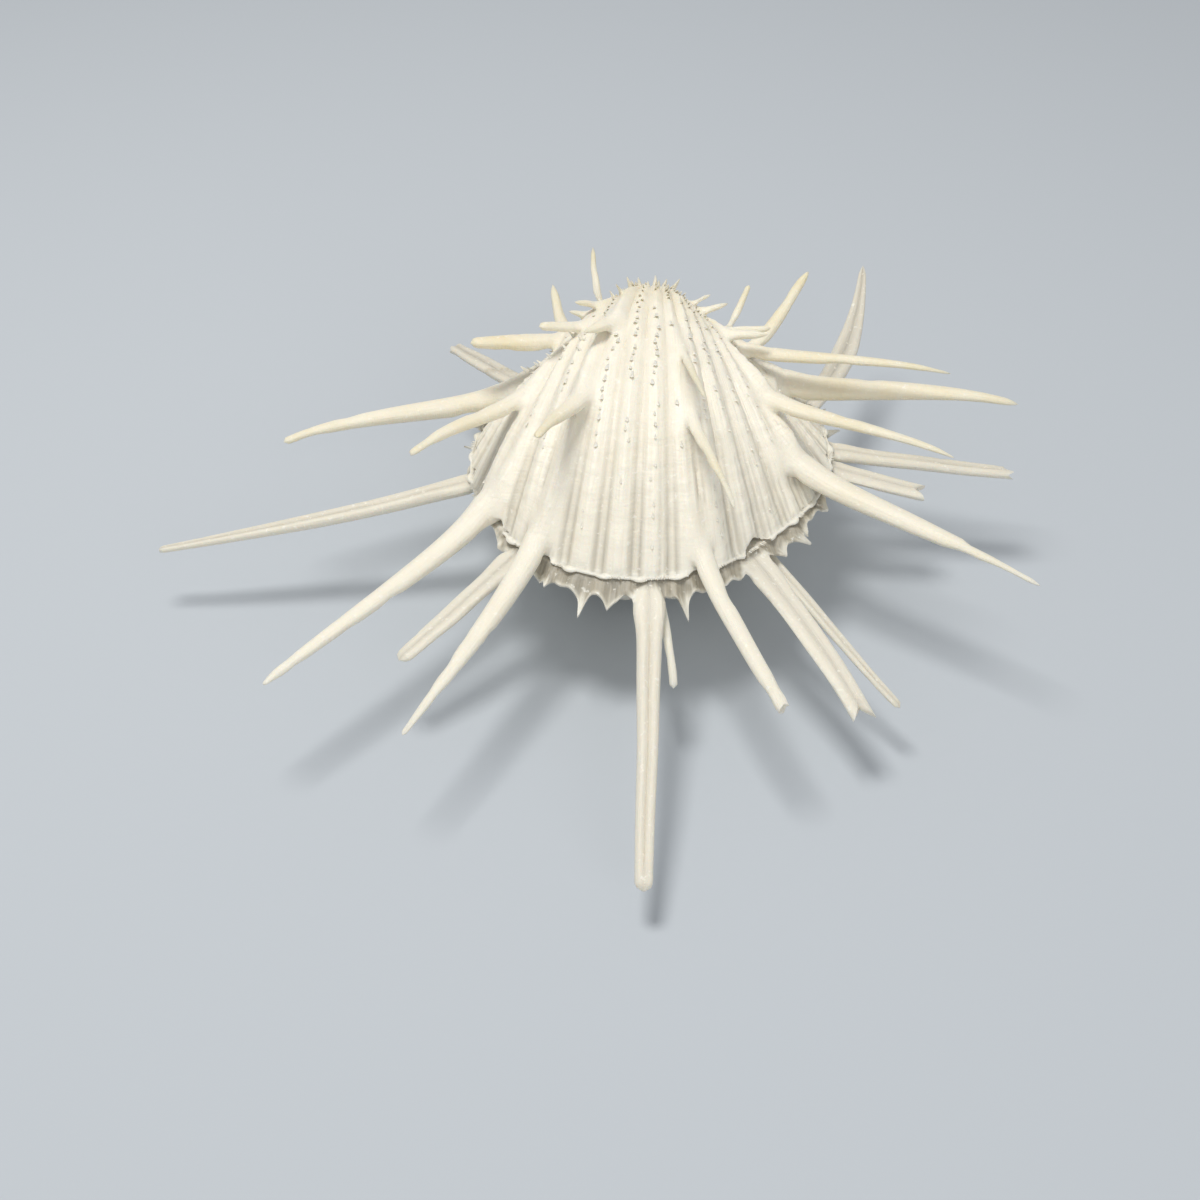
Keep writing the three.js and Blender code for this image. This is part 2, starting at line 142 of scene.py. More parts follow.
# Spines of the upper valve, each as rib, age, heading, lift, length, sway, arch, width, section and tip.
# rib: degrees round the hinge. age: growth at which the spine left the rim. heading, lift: direction of
# the tip. sway, arch: how much further its end bends. width: root, middle, tip.
upperSpines = {
    "crownFront": (-19, 0.68, -24, 8, 24.5, 4, -8, (5.3, 3.6, 1.6), "roof", "round"),
    "crownHook": (-15, 0.5, -40, 12, 12, 0, -5, (5.6, 3.8, 0.7), "roof", "point"),
    "crownNeedle": (6, 0.58, 8, 8.5, 25.5, 4, -10, (2.2, 1.6, 0.8), "plain", "point"),
    "frontNeedle": (6, 0.72, 11, 3, 37, 0, -12, (3.2, 2, 0.8), "plain", "point"),
    "leftLong": (-57, 0.77, -64.5, 2, 56.5, 8, -6, (7.4, 5, 1.9), "roof", "round"),
    "leftShort": (-39, 0.71, -40.5, 4, 36.5, 10, -8, (5, 3.8, 2), "roof", "round"),
    "leftBlunt": (-43, 0.5, -69, 9.5, 23.5, 0, 0, (4.6, 5.2, 2.9), "roof", "round"),
    "leftStub": (-29, 0.49, -59, 16, 12.5, 0, 0, (3.4, 3.2, 2.4), "roof", "round"),
    "leftThornA": (-28, 0.39, -48, 26.5, 10, 0, 0, (2.8, 2, 1.1), "plain", "point"),
    "leftThornB": (-34, 0.42, -68, 25, 6, 0, 0, (2.8, 2, 1.1), "plain", "point"),
    "backLeft": (-56, 0.46, -158.5, 24.5, 18, -8, 6, (3.8, 2.9, 1.4), "roof", "point"),
    "backLeftThin": (-36, 0.34, -167.5, 42.5, 15.5, -10, 12, (2.2, 1.6, 0.9), "plain", "point"),
    "beakThorn": (-17, 0.38, -34.5, 52, 6, 0, 0, (1.8, 1.2, 0.7), "plain", "point"),
    "rightThornA": (23, 0.35, 65, 37.5, 6.5, 0, 0, (2, 1.4, 0.9), "plain", "point"),
    "rightThornB": (28, 0.38, 73.5, 26.5, 9, 0, 0, (2.6, 1.8, 1.1), "plain", "point"),
    "backRightThin": (44, 0.46, 145, 34, 14.5, 0, 0, (2.1, 1.7, 1.2), "plain", "round"),
    "rightStubA": (38, 0.45, 79.5, 8.5, 12.5, 0, 0, (2.6, 2.2, 1.5), "plain", "round"),
    "rightStubB": (33, 0.49, 67, 11.5, 11.5, 0, 0, (3.6, 2.8, 1.6), "plain", "point"),
    "backRight": (54, 0.56, 136, 26, 29, -8, 10, (4.2, 3.1, 1.9), "roof", "round"),
    "rightHigh": (44, 0.52, 68, 5, 51, 6, -11, (4.8, 3.2, 1.1), "roof", "point"),
    "rightLong": (57, 0.72, 73, 4, 58, 6, -14, (8.6, 5.8, 1.7), "roof", "point"),
    "rightMiddle": (32, 0.7, 50.5, 4.5, 50, -2, -6, (5.4, 3.2, 1.1), "roof", "point"),
    "rightLow": (31, 0.87, 51.5, -5, 62.5, -3, 0, (7, 5, 1.7), "roof", "stepped"),
    "frontBroken": (5.5, 0.96, 19, -8, 45, 4, -4, (4.6, 3.8, 3), "roof", "broken"),
    "frontLeft": (-21.5, 0.95, -25.5, -8, 59.5, -2, 0, (5.8, 4.2, 1), "roof", "round"),
    "leftLow": (-34, 0.95, -39.5, -6, 69, 0, 0, (6.8, 4.3, 2), "roof", "round"),
}
# Spines of the lower valve. The second and third numbers say how far past the rim and how far under the
# frill each one leaves.
lowerSpines = {
    "lowBackLeft": (-74, (-2.5, 0), -140, -7, 34, 0, 0, (5.4, 5.4, 4.2), "gutter", "broken"),
    "lowLeftLong": (-44.5, (0, 0.5), -83, -10, 72.5, -4, 0, (5.4, 4.3, 1.9), "twoRims", "round"),
    "lowLeftBlade": (-25, (3.5, 0), -45, -15, 32, 0, 0, (5, 5.2, 3.7), "blade", "round"),
    "lowFront": (-3, (4.5, 0), -2, -15, 64.5, 0, -6, (5.6, 4.2, 3.4), "bean", "round"),
    "lowFrontThin": (-1.5, (-2, 3), 8, -24, 24, -6, -20, (2.2, 1.8, 1.7), "plain", "round"),
    "lowRightBlade": (14.5, (3.5, 0), 28, -14.5, 41.5, -4, -4, (6, 5.8, 4.9), "blade", "forked"),
    "lowRightThin": (19, (-2, 4), 36, -15.5, 46.5, 4, -4, (3, 2.7, 1.9), "twoRims", "round"),
    "lowRightForked": (45, (-0.5, 1), 78, -10, 23, 0, 0, (5, 5.8, 5.2), "blade", "forked"),
    "lowRightLong": (50, (0, 0.5), 86, -6, 43, 4, -2, (4.8, 4.2, 3.7), "twoRims", "broken"),
    "lowBackRight": (66, (0, 1), 159, 9, 57, 14, 30, (5.2, 6.6, 1.5), "gutter", "point"),
}
# Cross-sections: thickness as a share of width, a groove at an angle with its depth and spread, and how
# thin and clear the groove's floor is.
spineSections = {
    "plain": {"thickness": 0.8, "grooveAt": -90, "depth": 0.15, "spread": 25, "thin": 0.0},
    "roof": {"thickness": 0.72, "grooveAt": -90, "depth": 0.55, "spread": 34, "thin": 0.12},
    "gutter": {"thickness": 0.62, "grooveAt": 90, "depth": 0.7, "spread": 44, "thin": 0.65},
    "blade": {"thickness": 0.5, "grooveAt": 90, "depth": 0.6, "spread": 52, "thin": 0.4},
    "twoRims": {"thickness": 0.72, "grooveAt": 90, "depth": 0.55, "spread": 24, "thin": 0.4},
    "bean": {"thickness": 0.72, "grooveAt": 90, "depth": 0.55, "spread": 15, "thin": 0.3},
}
# What all spines share. The pulls shape the curve between root and tip. upperRun, upperDepth and lowerRun
# say how far back in its valve a spine begins. wallStart and frillStart: thinness and flare at the root.
spineForm = {
    "ringStep": 1.25, "stoutWidth": 2.5, "stoutSides": 20, "fineSides": 12,
    "rootPull": 0.24, "tipPull": 0.36, "growthPull": 0.45, "tipCrowding": 1.12,
    "upperRun": 0.032, "upperDepth": 0.6, "lowerRun": 6, "wallStart": (0.75, 0.14), "frillStart": (0.25, 0.3),
    "wobble": 0.12, "striae": 0.025, "stepAt": 0.715, "stepLoss": 0.3, "chipLoss": 0.1, "jagReach": 0.45,
}


def direction(heading, lift):
    # heading turns from the front towards the right, lift upwards
    heading, lift = math.radians(heading), math.radians(lift)
    level = math.cos(lift)
    return np.array([math.sin(heading) * level, -math.cos(heading) * level, math.sin(lift)])


# The lower valve's frill. edge: degrees round the hinge and how far the edge stands out there; a valley
# and a cusp follow each other, with an arch between them. spikes: degrees, length and lean of the fine
# points on the cusps.
frill = {
    "drop": 0.6, "dropPerMm": 0.44, "rootDepth": 3.5, "rootThickness": 2.4, "edgeThickness": 0.45,
    "from": -66, "to": 74, "columns": 840, "rows": 9, "foldPitch": 3.5, "foldHeight": 0.62,
    "arch": 2.1, "spikeWidth": 0.42, "lipClearance": 0.65,
    "edge": ((-66, 0), (-64, 0.6), (-61.5, 0.4), (-59.5, 2.2), (-58.3, 1.0), (-57, 1.7), (-55.2, 0.4),
             (-53.4, 1.2), (-50.5, 0.2), (-47, 1.6), (-41.5, 0), (-36, 1.4), (-32, 0.6), (-28, 2.9),
             (-27, 2.4), (-24.5, 4.4), (-20.4, 3.2), (-19, 4.3), (-18.4, 4.1), (-17.9, 5), (-16.8, 3.1),
             (-12.2, 5.6), (-11, 3.7), (-8.7, 5.8), (-6.8, 4), (-3.2, 7), (-0.6, 3.6), (1.6, 5.7),
             (4.6, 3.3), (7, 4.4), (10.2, 3.4), (14.5, 5.6), (18, 2.8), (19.7, 4.1), (22.7, 2.6),
             (24.1, 4.2), (24.9, 3.4), (26, 3.8), (30.4, 1.6), (33.6, 2.6), (38, 0.9), (45, 2),
             (47.5, 0.8), (50.5, 2), (53.4, 0.8), (55, 2.4), (57, 1), (59, 2.6), (60.4, 1.2), (62, 3),
             (64.5, 0.8), (67, 1.4), (70, 0.3), (74, 0)),
    "spikes": ((-59.5, 1.2, 0), (-53.4, 2.6, -9), (-12.1, 3.1, 0), (1.65, 3.2, 0), (24.1, 1.7, 5),
               (19.7, 0.4, 0), (-8.7, 0.4, 0), (-17.9, 0.5, 0), (33.6, 0.6, 0), (55, 3, 10),
               (59, 1.6, 8), (62, 3.6, 12), (66, 2.2, 14), (69.5, 1.6, 14)),
}


def rimOutward(angle):
    # level direction away from the rim, square to it
    along = growthPoint(lowerValve, 1.0, angle + 0.01) - growthPoint(lowerValve, 1.0, angle - 0.01)
    return unit(np.stack([along[..., 1], -along[..., 0], 0 * along[..., 0]], -1))


def frillPoint(angle, out):
    # the frill falls away below the rim as it stands out
    point = growthPoint(lowerValve, 1.0, angle) + rimOutward(angle) * np.asarray(out)[..., None]
    point[..., 2] -= frill["drop"] + frill["dropPerMm"] * out
    return point


def upperRoot(row):
    # the run along the rib up to where the spine leaves the shell, rising out of the wall as a square,
    # and the direction of growth there
    climb = np.linspace(0, 1, 14)
    width = row[7][0]
    growth = row[1] - spineForm["upperRun"] * (1 + width) * (1 - climb)
    point, normal = surfaceFrame(upperValve, growth, math.radians(row[0]))[:2]
    depth = spineForm["upperDepth"] * width * (1 - climb**2)
    ahead = unit(point[-1] - growthPoint(upperValve, row[1] * 0.98, math.radians(row[0])))
    return point - normal * depth[:, None], ahead, False


def lowerRoot(row):
    # the same inside the frill, where the spine begins as a thin wedge
    out, down = row[1]
    angle = math.radians(row[0])
    run = frillPoint(angle, np.linspace(out - spineForm["lowerRun"], out, 8)) - np.array([0, 0, down])
    return run, unit(frillPoint(angle, np.array(out + 1)) - frillPoint(angle, np.array(out))), True


def ringFaces(rings, sides):
    # faces between the neighbouring rings of a tube, and a fan over each end round a corner of its own
    ring, side = np.meshgrid(np.arange(rings - 1), np.arange(sides), indexing="ij")
    after = (side + 1) % sides
    quads = np.stack([ring * sides + side, ring * sides + after,
                      (ring + 1) * sides + after, (ring + 1) * sides + side], -1).reshape(-1, 4)
    loop, last, centre = np.arange(sides), (rings - 1) * sides, rings * sides
    after = (loop + 1) % sides
    fans = np.concatenate([np.stack([loop * 0 + centre, after, loop], -1),
                           np.stack([loop * 0 + centre + 1, last + loop, last + after], -1)])
    return quads, fans


# The middle line of every spine, with its directions, run and half width, kept for the paint
spineLines = []


def spineSurface(row, root, number):
    # rings along the run at the root and a cubic curve: each ring is an ellipse drawn in by a groove,
    # with fine striae. The tip is a point or a round, narrows in a step first, or is broken or forked.
    heading, lift, length, sway, arch, width, section, tip = row[2:]
    lead, growing, inFrill = root
    section, form = spineSections[section], spineForm
    aim = direction(heading, lift)
    end = lead[-1] + length * aim
    start = unit(form["growthPull"] * growing + (1 - form["growthPull"]) * aim)
    knots = np.array([lead[-1], lead[-1] + form["rootPull"] * length * start,
                      end - form["tipPull"] * length * direction(heading + sway, lift + arch), end])
    t = np.linspace(0, 1, 80)[:, None]
    free = (knots[0] * (1 - t)**3 + 3 * knots[1] * t * (1 - t)**2
            + 3 * knots[2] * t * t * (1 - t) + knots[3] * t**3)
    line = np.concatenate([lead[:-1], free])
    run = np.concatenate([[0], np.cumsum(np.linalg.norm(np.diff(line, axis=0), axis=1))])
    leadLength, total = run[len(lead) - 1], run[-1]
    sides = form["stoutSides"] if width[0] > form["stoutWidth"] else form["fineSides"]
    rings = int(total / form["ringStep"]) + 6
    place = np.linspace(0, 1, rings)
    if tip in ("point", "round", "stepped"):
        place = 1 - (1 - place)**form["tipCrowding"]
    middle = np.stack([np.interp(place * total, run, line[:, axis]) for axis in range(3)], -1)
    for _ in range(4):
        middle[1:-1] = (middle[:-2] + 2 * middle[1:-1] + middle[2:]) / 4
    share = (place * total - leadLength) / (total - leadLength)
    forward = unit(np.gradient(middle, axis=0))
    sideways = unit(np.stack([forward[:, 1], -forward[:, 0], 0 * forward[:, 0]], -1))
    upward = np.cross(sideways, forward)
    fade = np.sin(np.pi * np.clip(share, 0, 1))[:, None]
    middle = middle + fade * form["wobble"] * (sideways * ripple(500 + number, share * 11)[:, None]
                                               + upward * ripple(600 + number, share * 9)[:, None])
    across = np.interp(share, (0, 0.5, 1), width)
    across = np.convolve(np.pad(across, 3, "edge"), np.ones(7) / 7, "valid")
    across = across * (1 + 0.035 * ripple(700 + number, share * length * 0.12) * (1 - np.clip(share, 0, 1)))
    thin, flare = form["frillStart"] if inFrill else form["wallStart"]
    across = across * (thin + (1 - thin) * smooth(0, leadLength, place * total))
    across = across * (1 + flare * np.exp(-(share * length / width[0])**2))
    if tip == "broken":
        chips = 1 + ripple(950 + number, share * length * 0.9)
        across = across * (1 - form["chipLoss"] * smooth(0.7, 1, share) * chips)
    if tip == "stepped":
        step = form["stepAt"]
        across = across * (1 - form["stepLoss"] * smooth(step - 0.01, step + 0.01, share))
    if tip in ("point", "stepped"):
        across = across * np.sqrt(np.clip((1 - share) * length / (1.6 * width[2]), 0.004, 1))
    if tip == "round":
        rest = np.clip((1 - share) * length / (0.55 * width[2]), 0.002, 1)
        across = across * np.sqrt(rest * (2 - rest))
    turn = np.linspace(0, 2 * np.pi, sides, endpoint=False)[None]
    gap = np.angle(np.exp(1j * (turn - math.radians(section["grooveAt"]))))
    # a spine that grows out of the frill starts flat with a wide shallow valley, which draws together
    early = smooth(0.14, -0.02, share) * inFrill
    deep = (section["depth"] * (1 - 0.5 * smooth(0.8, 1, share)) * (1 + 0.15 * early))[:, None]
    valley = np.radians(section["spread"] + max(0, 48 - section["spread"]) * early)[:, None]
    inward = 1 - deep * np.exp(-(gap / valley)**2)
    flat = (section["thickness"] * (1 - 0.3 * early))[:, None]
    inward = inward + form["striae"] * np.cos(5 * turn + 2 * ripple(800 + number, share * 4)[:, None])
    half = (across / 2)[:, None] * inward
    spineLines.append((row, middle, sideways, upward, share * length, across / 2))
    tube = (middle[:, None] + sideways[:, None] * (half * np.cos(turn))[..., None]
            + upward[:, None] * (flat * half * np.sin(turn))[..., None])
    jag = np.zeros(sides)
    if tip == "broken":
        jag = 0.5 * ripple(900 + number, 3 * np.cos(turn[0]), 3 * np.sin(turn[0])) + 0.45 * np.cos(turn[0])
    if tip == "forked":
        jag = 1.7 * np.abs(np.cos(turn[0])) + 0.5 * ripple(900 + number, 3 * np.cos(turn[0]))
    jag = jag - jag.max()
    shift = smooth(0.86, 1, share)[:, None] * jag[None] * width[2] * form["jagReach"]
    tube += shift[..., None] * forward[:, None]
    sink = 0.9 if tip in ("broken", "forked") else -0.05
    closing = np.stack([tube[0].mean(0), tube[-1].mean(0) - forward[-1] * sink])
    return np.concatenate([tube.reshape(-1, 3), closing]), *ringFaces(rings, sides)


def enclosed(points, quads, triangles):
    # six times the volume inside, negative when the faces point inwards
    corners = np.concatenate([triangles, quads[:, [0, 1, 2]], quads[:, [0, 2, 3]]])
    a, b, c = points[corners[:, 0]], points[corners[:, 1]], points[corners[:, 2]]
    return float(np.einsum("ij,ij->i", a, np.cross(b, c)).sum())


def addMesh(name, points, quads, triangles=None):
    # puts a closed surface in a new object, turned so that its faces point outwards
    quads = np.asarray(quads, int).reshape(-1, 4)
    triangles = np.zeros((0, 3), int) if triangles is None else np.asarray(triangles, int)
    if enclosed(points, quads, triangles) < 0:
        quads, triangles = quads[:, ::-1], triangles[:, ::-1]
    mesh = bpy.data.meshes.new(name)
    mesh.vertices.add(len(points))
    mesh.vertices.foreach_set("co", (points * mm).astype(np.float32).ravel())
    sizes = np.concatenate([np.full(len(quads), 4), np.full(len(triangles), 3)])
    mesh.loops.add(int(sizes.sum()))
    corners = np.concatenate([quads.ravel(), triangles.ravel()])
    mesh.loops.foreach_set("vertex_index", corners.astype(np.int32))
    mesh.polygons.add(len(sizes))
    mesh.polygons.foreach_set("loop_start", (np.cumsum(sizes) - sizes).astype(np.int32))
    mesh.update(calc_edges=True)
    piece = bpy.data.objects.new(name, mesh)
    bpy.context.scene.collection.objects.link(piece)
    return piece


def closedGrid(grid, centre):
    # a grid of rows from the beak to the rim, closed by a fan over its first row and one round its border
    rows, columns = grid.shape[:2]
    index = np.arange(rows * columns).reshape(rows, columns)
    quads = np.stack([index[:-1, :-1], index[:-1, 1:], index[1:, 1:], index[1:, :-1]], -1).reshape(-1, 4)
    border = np.concatenate([index[-1], index[-2:0:-1, -1], index[0, ::-1], index[1:-1, 0]])
    points = np.concatenate([grid.reshape(-1, 3), [centre]])
    fan = np.stack([border * 0 + rows * columns, border, np.roll(border, -1)], -1)
    return points, quads, fan


def combine(target, tools, operation):
    # joins or cuts closed solids and keeps the result as the target's own mesh
    for tool in tools:
        modifier = target.modifiers.new(tool.name, "BOOLEAN")
        modifier.operation, modifier.solver, modifier.object = operation, "MANIFOLD", tool
    graph = bpy.context.evaluated_depsgraph_get()
    made = bpy.data.meshes.new_from_object(target.evaluated_get(graph))
    target.modifiers.clear()
    old, target.data = target.data, made
    bpy.data.meshes.remove(old)
    for tool in tools:
        bpy.data.objects.remove(tool)


def coordinates(mesh):
    # corner places in millimetres
    flat = np.empty(len(mesh.vertices) * 3, np.float32)
    mesh.vertices.foreach_get("co", flat)
    return flat.reshape(-1, 3).astype(float) / mm


def keysOf(points):
    # one whole number for each place, so that places can be matched
    whole = np.round(points * 2000).astype(np.int64) + 2**19
    return (whole[:, 0] << 42) + (whole[:, 1] << 21) + whole[:, 2]


# How far from a seam the surface is relaxed, in millimetres, and how often
seams = {"upper": (4.2, 30), "lower": (1.8, 10), "strength": 0.6}


def softenSeams(piece, known, reach, passes):
    # corners that the joining made new are the seams; the surface within reach of them is relaxed
    mesh = piece.data
    points = coordinates(mesh)
    pairs = np.empty(len(mesh.edges) * 2, np.int32)
    mesh.edges.foreach_get("vertices", pairs)
    a, b = pairs.reshape(-1, 2).T
    lengths = np.linalg.norm(points[a] - points[b], axis=1)
    away = np.where(np.isin(keysOf(points), known), reach * 2, 0.0)
    for _ in range(14):
        np.minimum.at(away, a, away[b] + lengths)
        np.minimum.at(away, b, away[a] + lengths)
    weight = np.clip(1 - away / reach, 0, 1)**1.5 * seams["strength"]
    degree = np.maximum(np.bincount(a, minlength=len(points)) + np.bincount(b, minlength=len(points)), 1)
    for _ in range(passes):
        for axis in range(3):
            column = points[:, axis]
            total = (np.bincount(a, column[b], len(points)) + np.bincount(b, column[a], len(points))) / degree
            points[:, axis] = column + weight * (total - column)
    mesh.vertices.foreach_set("co", (points * mm).astype(np.float32).ravel())
    mesh.update()
    return away


# Ribs, riblets and growth steps of the upper valve, and its thin scalloped lip
ribbing = {
    "pitch": 5.8, "first": -2.5, "relief": 0.21, "crest": 0.5, "ribletsPerRib": 4, "ribletHeight": 0.14,
    "keelHeight": 0.22, "stepHeight": 0.12, "steps": 24, "wornHeight": 0.35, "rows": 190, "columns": 372,
    "lipReach": 1.25, "lipThickness": 0.26, "ridgeHeight": 0.5, "ridgeRun": 0.042,
}


def ribNumber(angle):
    return (np.degrees(angle) - ribbing["first"]) / ribbing["pitch"]


def ribWave(angle, growth, seed):
    # broad rounded ribs with narrow grooves between them: a cosine raised to a power below one
    number = ribNumber(angle)
    number = number + 0.05 * ripple(seed, number * 0.9, growth * 9)
    crest = (0.5 + 0.5 * np.cos(2 * np.pi * number))**ribbing["crest"]
    return number, crest


def ribletWave(number, growth):
    # fine riblets, a few on each rib: a cosine that wanders a little
    wander = 1.5 * ripple(12, number, growth * 4)
    return 0.5 + 0.5 * np.cos(2 * np.pi * number * ribbing["ribletsPerRib"] + wander)


def lipWave(angle):
    # the lip's rounded lobes, one beside the crest of each rib, and where small teeth stand between them
    number = ribNumber(angle) + 0.24
    number = number + 0.12 * ripple(17, number * 0.6)
    lobe = smooth(0.1, 1, np.cos(2 * np.pi * number))
    size = 0.8 + 0.2 * np.sin(2.7 * np.round(number) + 1)
    return lobe * size, (1 - lobe) * (np.sin(4.1 * np.floor(number)) > -0.3)


def upperRelief(growth, angle):
    # height over the smooth valve: ribs in proportion to their width, riblets near the rim, uneven
    # growth steps, a worn and bumpy beak, and a ridge that climbs into the root of each spine
    reach = rimReach(angle) * growth
    width = np.radians(ribbing["pitch"]) * reach
    number, crest = ribWave(angle, growth, 11)
    strength = 1 + 0.3 * np.sin(1.9 * np.round(number) + 4)
    edge = smooth(90, 78, np.abs(np.degrees(angle)))
    relief = ribbing["relief"] * width * (crest - 0.6) * strength
    relief += ribbing["ribletHeight"] * (2 * ribletWave(number, growth) - 1) * smooth(0.45, 0.95, growth)
    bands = growth * ribbing["steps"] + 0.7 * ripple(13, number * 0.8, growth * 6)
    step = bands - np.floor(bands)
    relief += ribbing["stepHeight"] * (step - 0.5) * smooth(1, 0.93, step) * smooth(0.25, 0.7, growth)
    relief += 0.22 * ripple(14, number * 0.7, growth * 13) * growth
    beads = 0.6 + 0.4 * np.cos(2 * np.pi * growth * 30 + 3 * np.round(number))
    keel = np.exp(-((number - np.round(number)) / 0.13)**2) * beads
    relief += ribbing["keelHeight"] * keel * smooth(0.97, 0.8, growth) * smooth(0.1, 0.3, growth)
    worn = smooth(0.55, 0.3, growth)
    relief += ribbing["wornHeight"] * worn * ripple(15, number * 2.6, growth * 60)
    for row in upperSpines.values():
        rib, age, root = row[0], row[1], row[7][0]
        climb = np.clip(1 - (age - growth) / (ribbing["ridgeRun"] * (1 + root)), 0, 1)
        side = np.radians(np.degrees(angle) - rib) * reach
        broad = root * (0.28 + 0.24 * climb)
        ending = smooth(min(age + 0.045, 0.985), min(age, 0.94), growth)
        relief += ribbing["ridgeHeight"] * root * climb**2.2 * ending * np.exp(-(side / broad)**2)
    return relief * edge


def rimAngles(columns):
    # angles at even steps along the rim
    fine = np.radians(np.linspace(-90, 90, 2001))
    rim = growthPoint(upperValve, 1.0, fine)
    run = np.concatenate([[0], np.cumsum(np.linalg.norm(np.diff(rim, axis=0), axis=1))])
    return np.interp(np.linspace(0, run[-1], columns + 1), run, fine)


def upperBlank():
    # the ribbed valve as a grid of growth by angle. The rim is carried outwards in lobes as a thin lip,
    # which is wider where a spine leaves the rim.
    angle = rimAngles(ribbing["columns"])[None]
    growth = np.linspace(0, 1, ribbing["rows"] + 1)[:, None]
    start = upperValve["firstGrowth"]
    growth = start + (1 - start) * (0.25 * growth**2 + 0.75 * growth)
    point, normal = surfaceFrame(upperValve, growth, angle)[:2]
    fade = smooth(1, 0.985, growth)
    grid = point + normal * (upperRelief(growth, angle) * (0.35 + 0.65 * fade))[..., None]
    floor = rimHeight + shell["rimGap"] / 2
    number = ribWave(angle[0], np.ones_like(angle[0]), 11)[0]
    sides = smooth(88, 72, np.abs(np.degrees(angle[0])))
    lobe = lipWave(angle[0])[0]
    web = sum(np.exp(-((np.degrees(angle[0]) - row[0]) / 2.4)**2)
              for row in upperSpines.values() if row[1] > 0.9)
    scallop = 0.35 + 0.65 * lobe + 0.08 * ripple(16, number * 7) + 0.7 * web
    scallop = ribbing["lipReach"] * scallop * sides
    rim, outward = growthPoint(upperValve, 1.0, angle[0]), rimOutward(angle[0])
    grid[-1] = rim + outward * (scallop * 0.55)[:, None]
    grid[-1, :, 2] = floor + ribbing["lipThickness"] * (1.5 + 0.8 * lobe) * sides
    tipTop = rim + outward * scallop[:, None]
    tipTop[:, 2] = floor + ribbing["lipThickness"] * sides
    tipUnder = tipTop.copy()
    tipUnder[:, 2] = floor - 0.02
    grid = np.concatenate([grid, tipTop[None], tipUnder[None]])
    return closedGrid(grid, rimMiddle(floor - 0.02))


def cavityOf(valve):
    # the smooth valve made smaller about the middle of its rim and moved to open on the rim plane
    growth = (valve["firstGrowth"]**(1 - np.linspace(0, 1, 25)))[:, None]
    grid = growthPoint(valve, growth, np.radians(np.linspace(-90, 90, 61))[None])
    middle = rimMiddle(rimHeight)
    points, quads, fan = closedGrid(grid, middle)
    points = (points - middle) * np.array(valve["wall"]) + middle
    return points + np.array([0, valve["shift"], -valve["side"] * 0.4]), quads, fan


def slab(low, high):
    # the rim's outline, carried back past the hinge, as a block between two heights
    outline = growthPoint(upperValve, 1.0, np.radians(np.linspace(-90, 90, 181)))[:, :2]
    half = shell["width"] / 2
    outline = np.concatenate([outline, [[half, hingeY + half], [-half, hingeY + half]]])
    count = len(outline)
    rings = np.concatenate([np.column_stack([outline, np.full(count, height)]) for height in (low, high)])
    middle = [[0, hingeY - half * 0.8, low], [0, hingeY - half * 0.8, high]]
    return np.concatenate([rings, middle]), *ringFaces(2, count)


def ellipsoid(centre, halves, rows, columns):
    # a ball stretched along the axes, closed at its poles
    down, turn = np.meshgrid(np.linspace(0, np.pi, rows + 1)[1:-1],
                             np.linspace(0, 2 * np.pi, columns, endpoint=False), indexing="ij")
    ball = np.stack([np.sin(down) * np.cos(turn), np.sin(down) * np.sin(turn), np.cos(down)], -1)
    ball = ball.reshape(-1, 3)
    points = np.concatenate([ball, [[0, 0, 1], [0, 0, -1]]]) * np.array(halves) + np.array(centre)
    return points, *ringFaces(rows - 1, columns)


def pocket():
    # room for the ligament, with a gap all round
    halves = [half + shell["pocketGap"] for half in (ligamentHigh - ligamentLow) / 2 / mm]
    return addMesh("pocket", *ellipsoid(ligamentMiddle, halves, 16, 28))


def makeUpperValve():
    # ribbed blank and spines joined, seams softened, then hollowed and cut on the rim plane
    points, quads, fan = upperBlank()
    known = [keysOf(points)]
    valve = addMesh("upper_valve_shell", points, quads, fan)
    spines = []
    for number, (name, row) in enumerate(upperSpines.items()):
        points, quads, fans = spineSurface(row, upperRoot(row), number)
        known.append(keysOf(points))
        spines.append(addMesh(name, points, quads, fans))
    combine(valve, spines, "UNION")
    softenSeams(valve, np.concatenate(known), *seams["upper"])
    rimCut = addMesh("rimCut", *slab(0, rimHeight + shell["rimGap"] / 2))
    combine(valve, [addMesh("hollow", *cavityOf(upperValve)), rimCut, pocket()], "DIFFERENCE")
    return valve


# Ribs and leafy growth edges of the lower valve
lowerForm = {"relief": 0.1, "leafHeight": 1.0, "leaves": 15, "rows": 150, "columns": 320}


def lowerRelief(growth, angle):
    # height over the smooth valve: ribs, and leafy growth edges that stand up towards the scar
    reach = rimReach(angle) * growth
    width = np.radians(ribbing["pitch"]) * reach
    number, crest = ribWave(angle, growth, 31)
    relief = lowerForm["relief"] * width * (crest - 0.6)
    leaf = growth * lowerForm["leaves"] + 0.55 * ripple(32, number * 1.1, growth * 3) + 0.12 * crest
    step = leaf - np.floor(leaf)
    rise = step**2.2 * smooth(1, 0.94, step)
    broken = 0.55 + 0.45 * ripple(33, number * 1.7, np.floor(leaf) * 2.3)
    older = smooth(0.98, 0.8, growth) * (0.35 + 0.65 * smooth(0.9, 0.5, growth))
    relief += lowerForm["leafHeight"] * rise * np.clip(broken, 0.05, 1) * older
    relief += 0.25 * ripple(34, number * 0.8, growth * 14)
    return relief * smooth(90, 78, np.abs(np.degrees(angle))) * smooth(1, 0.96, growth)


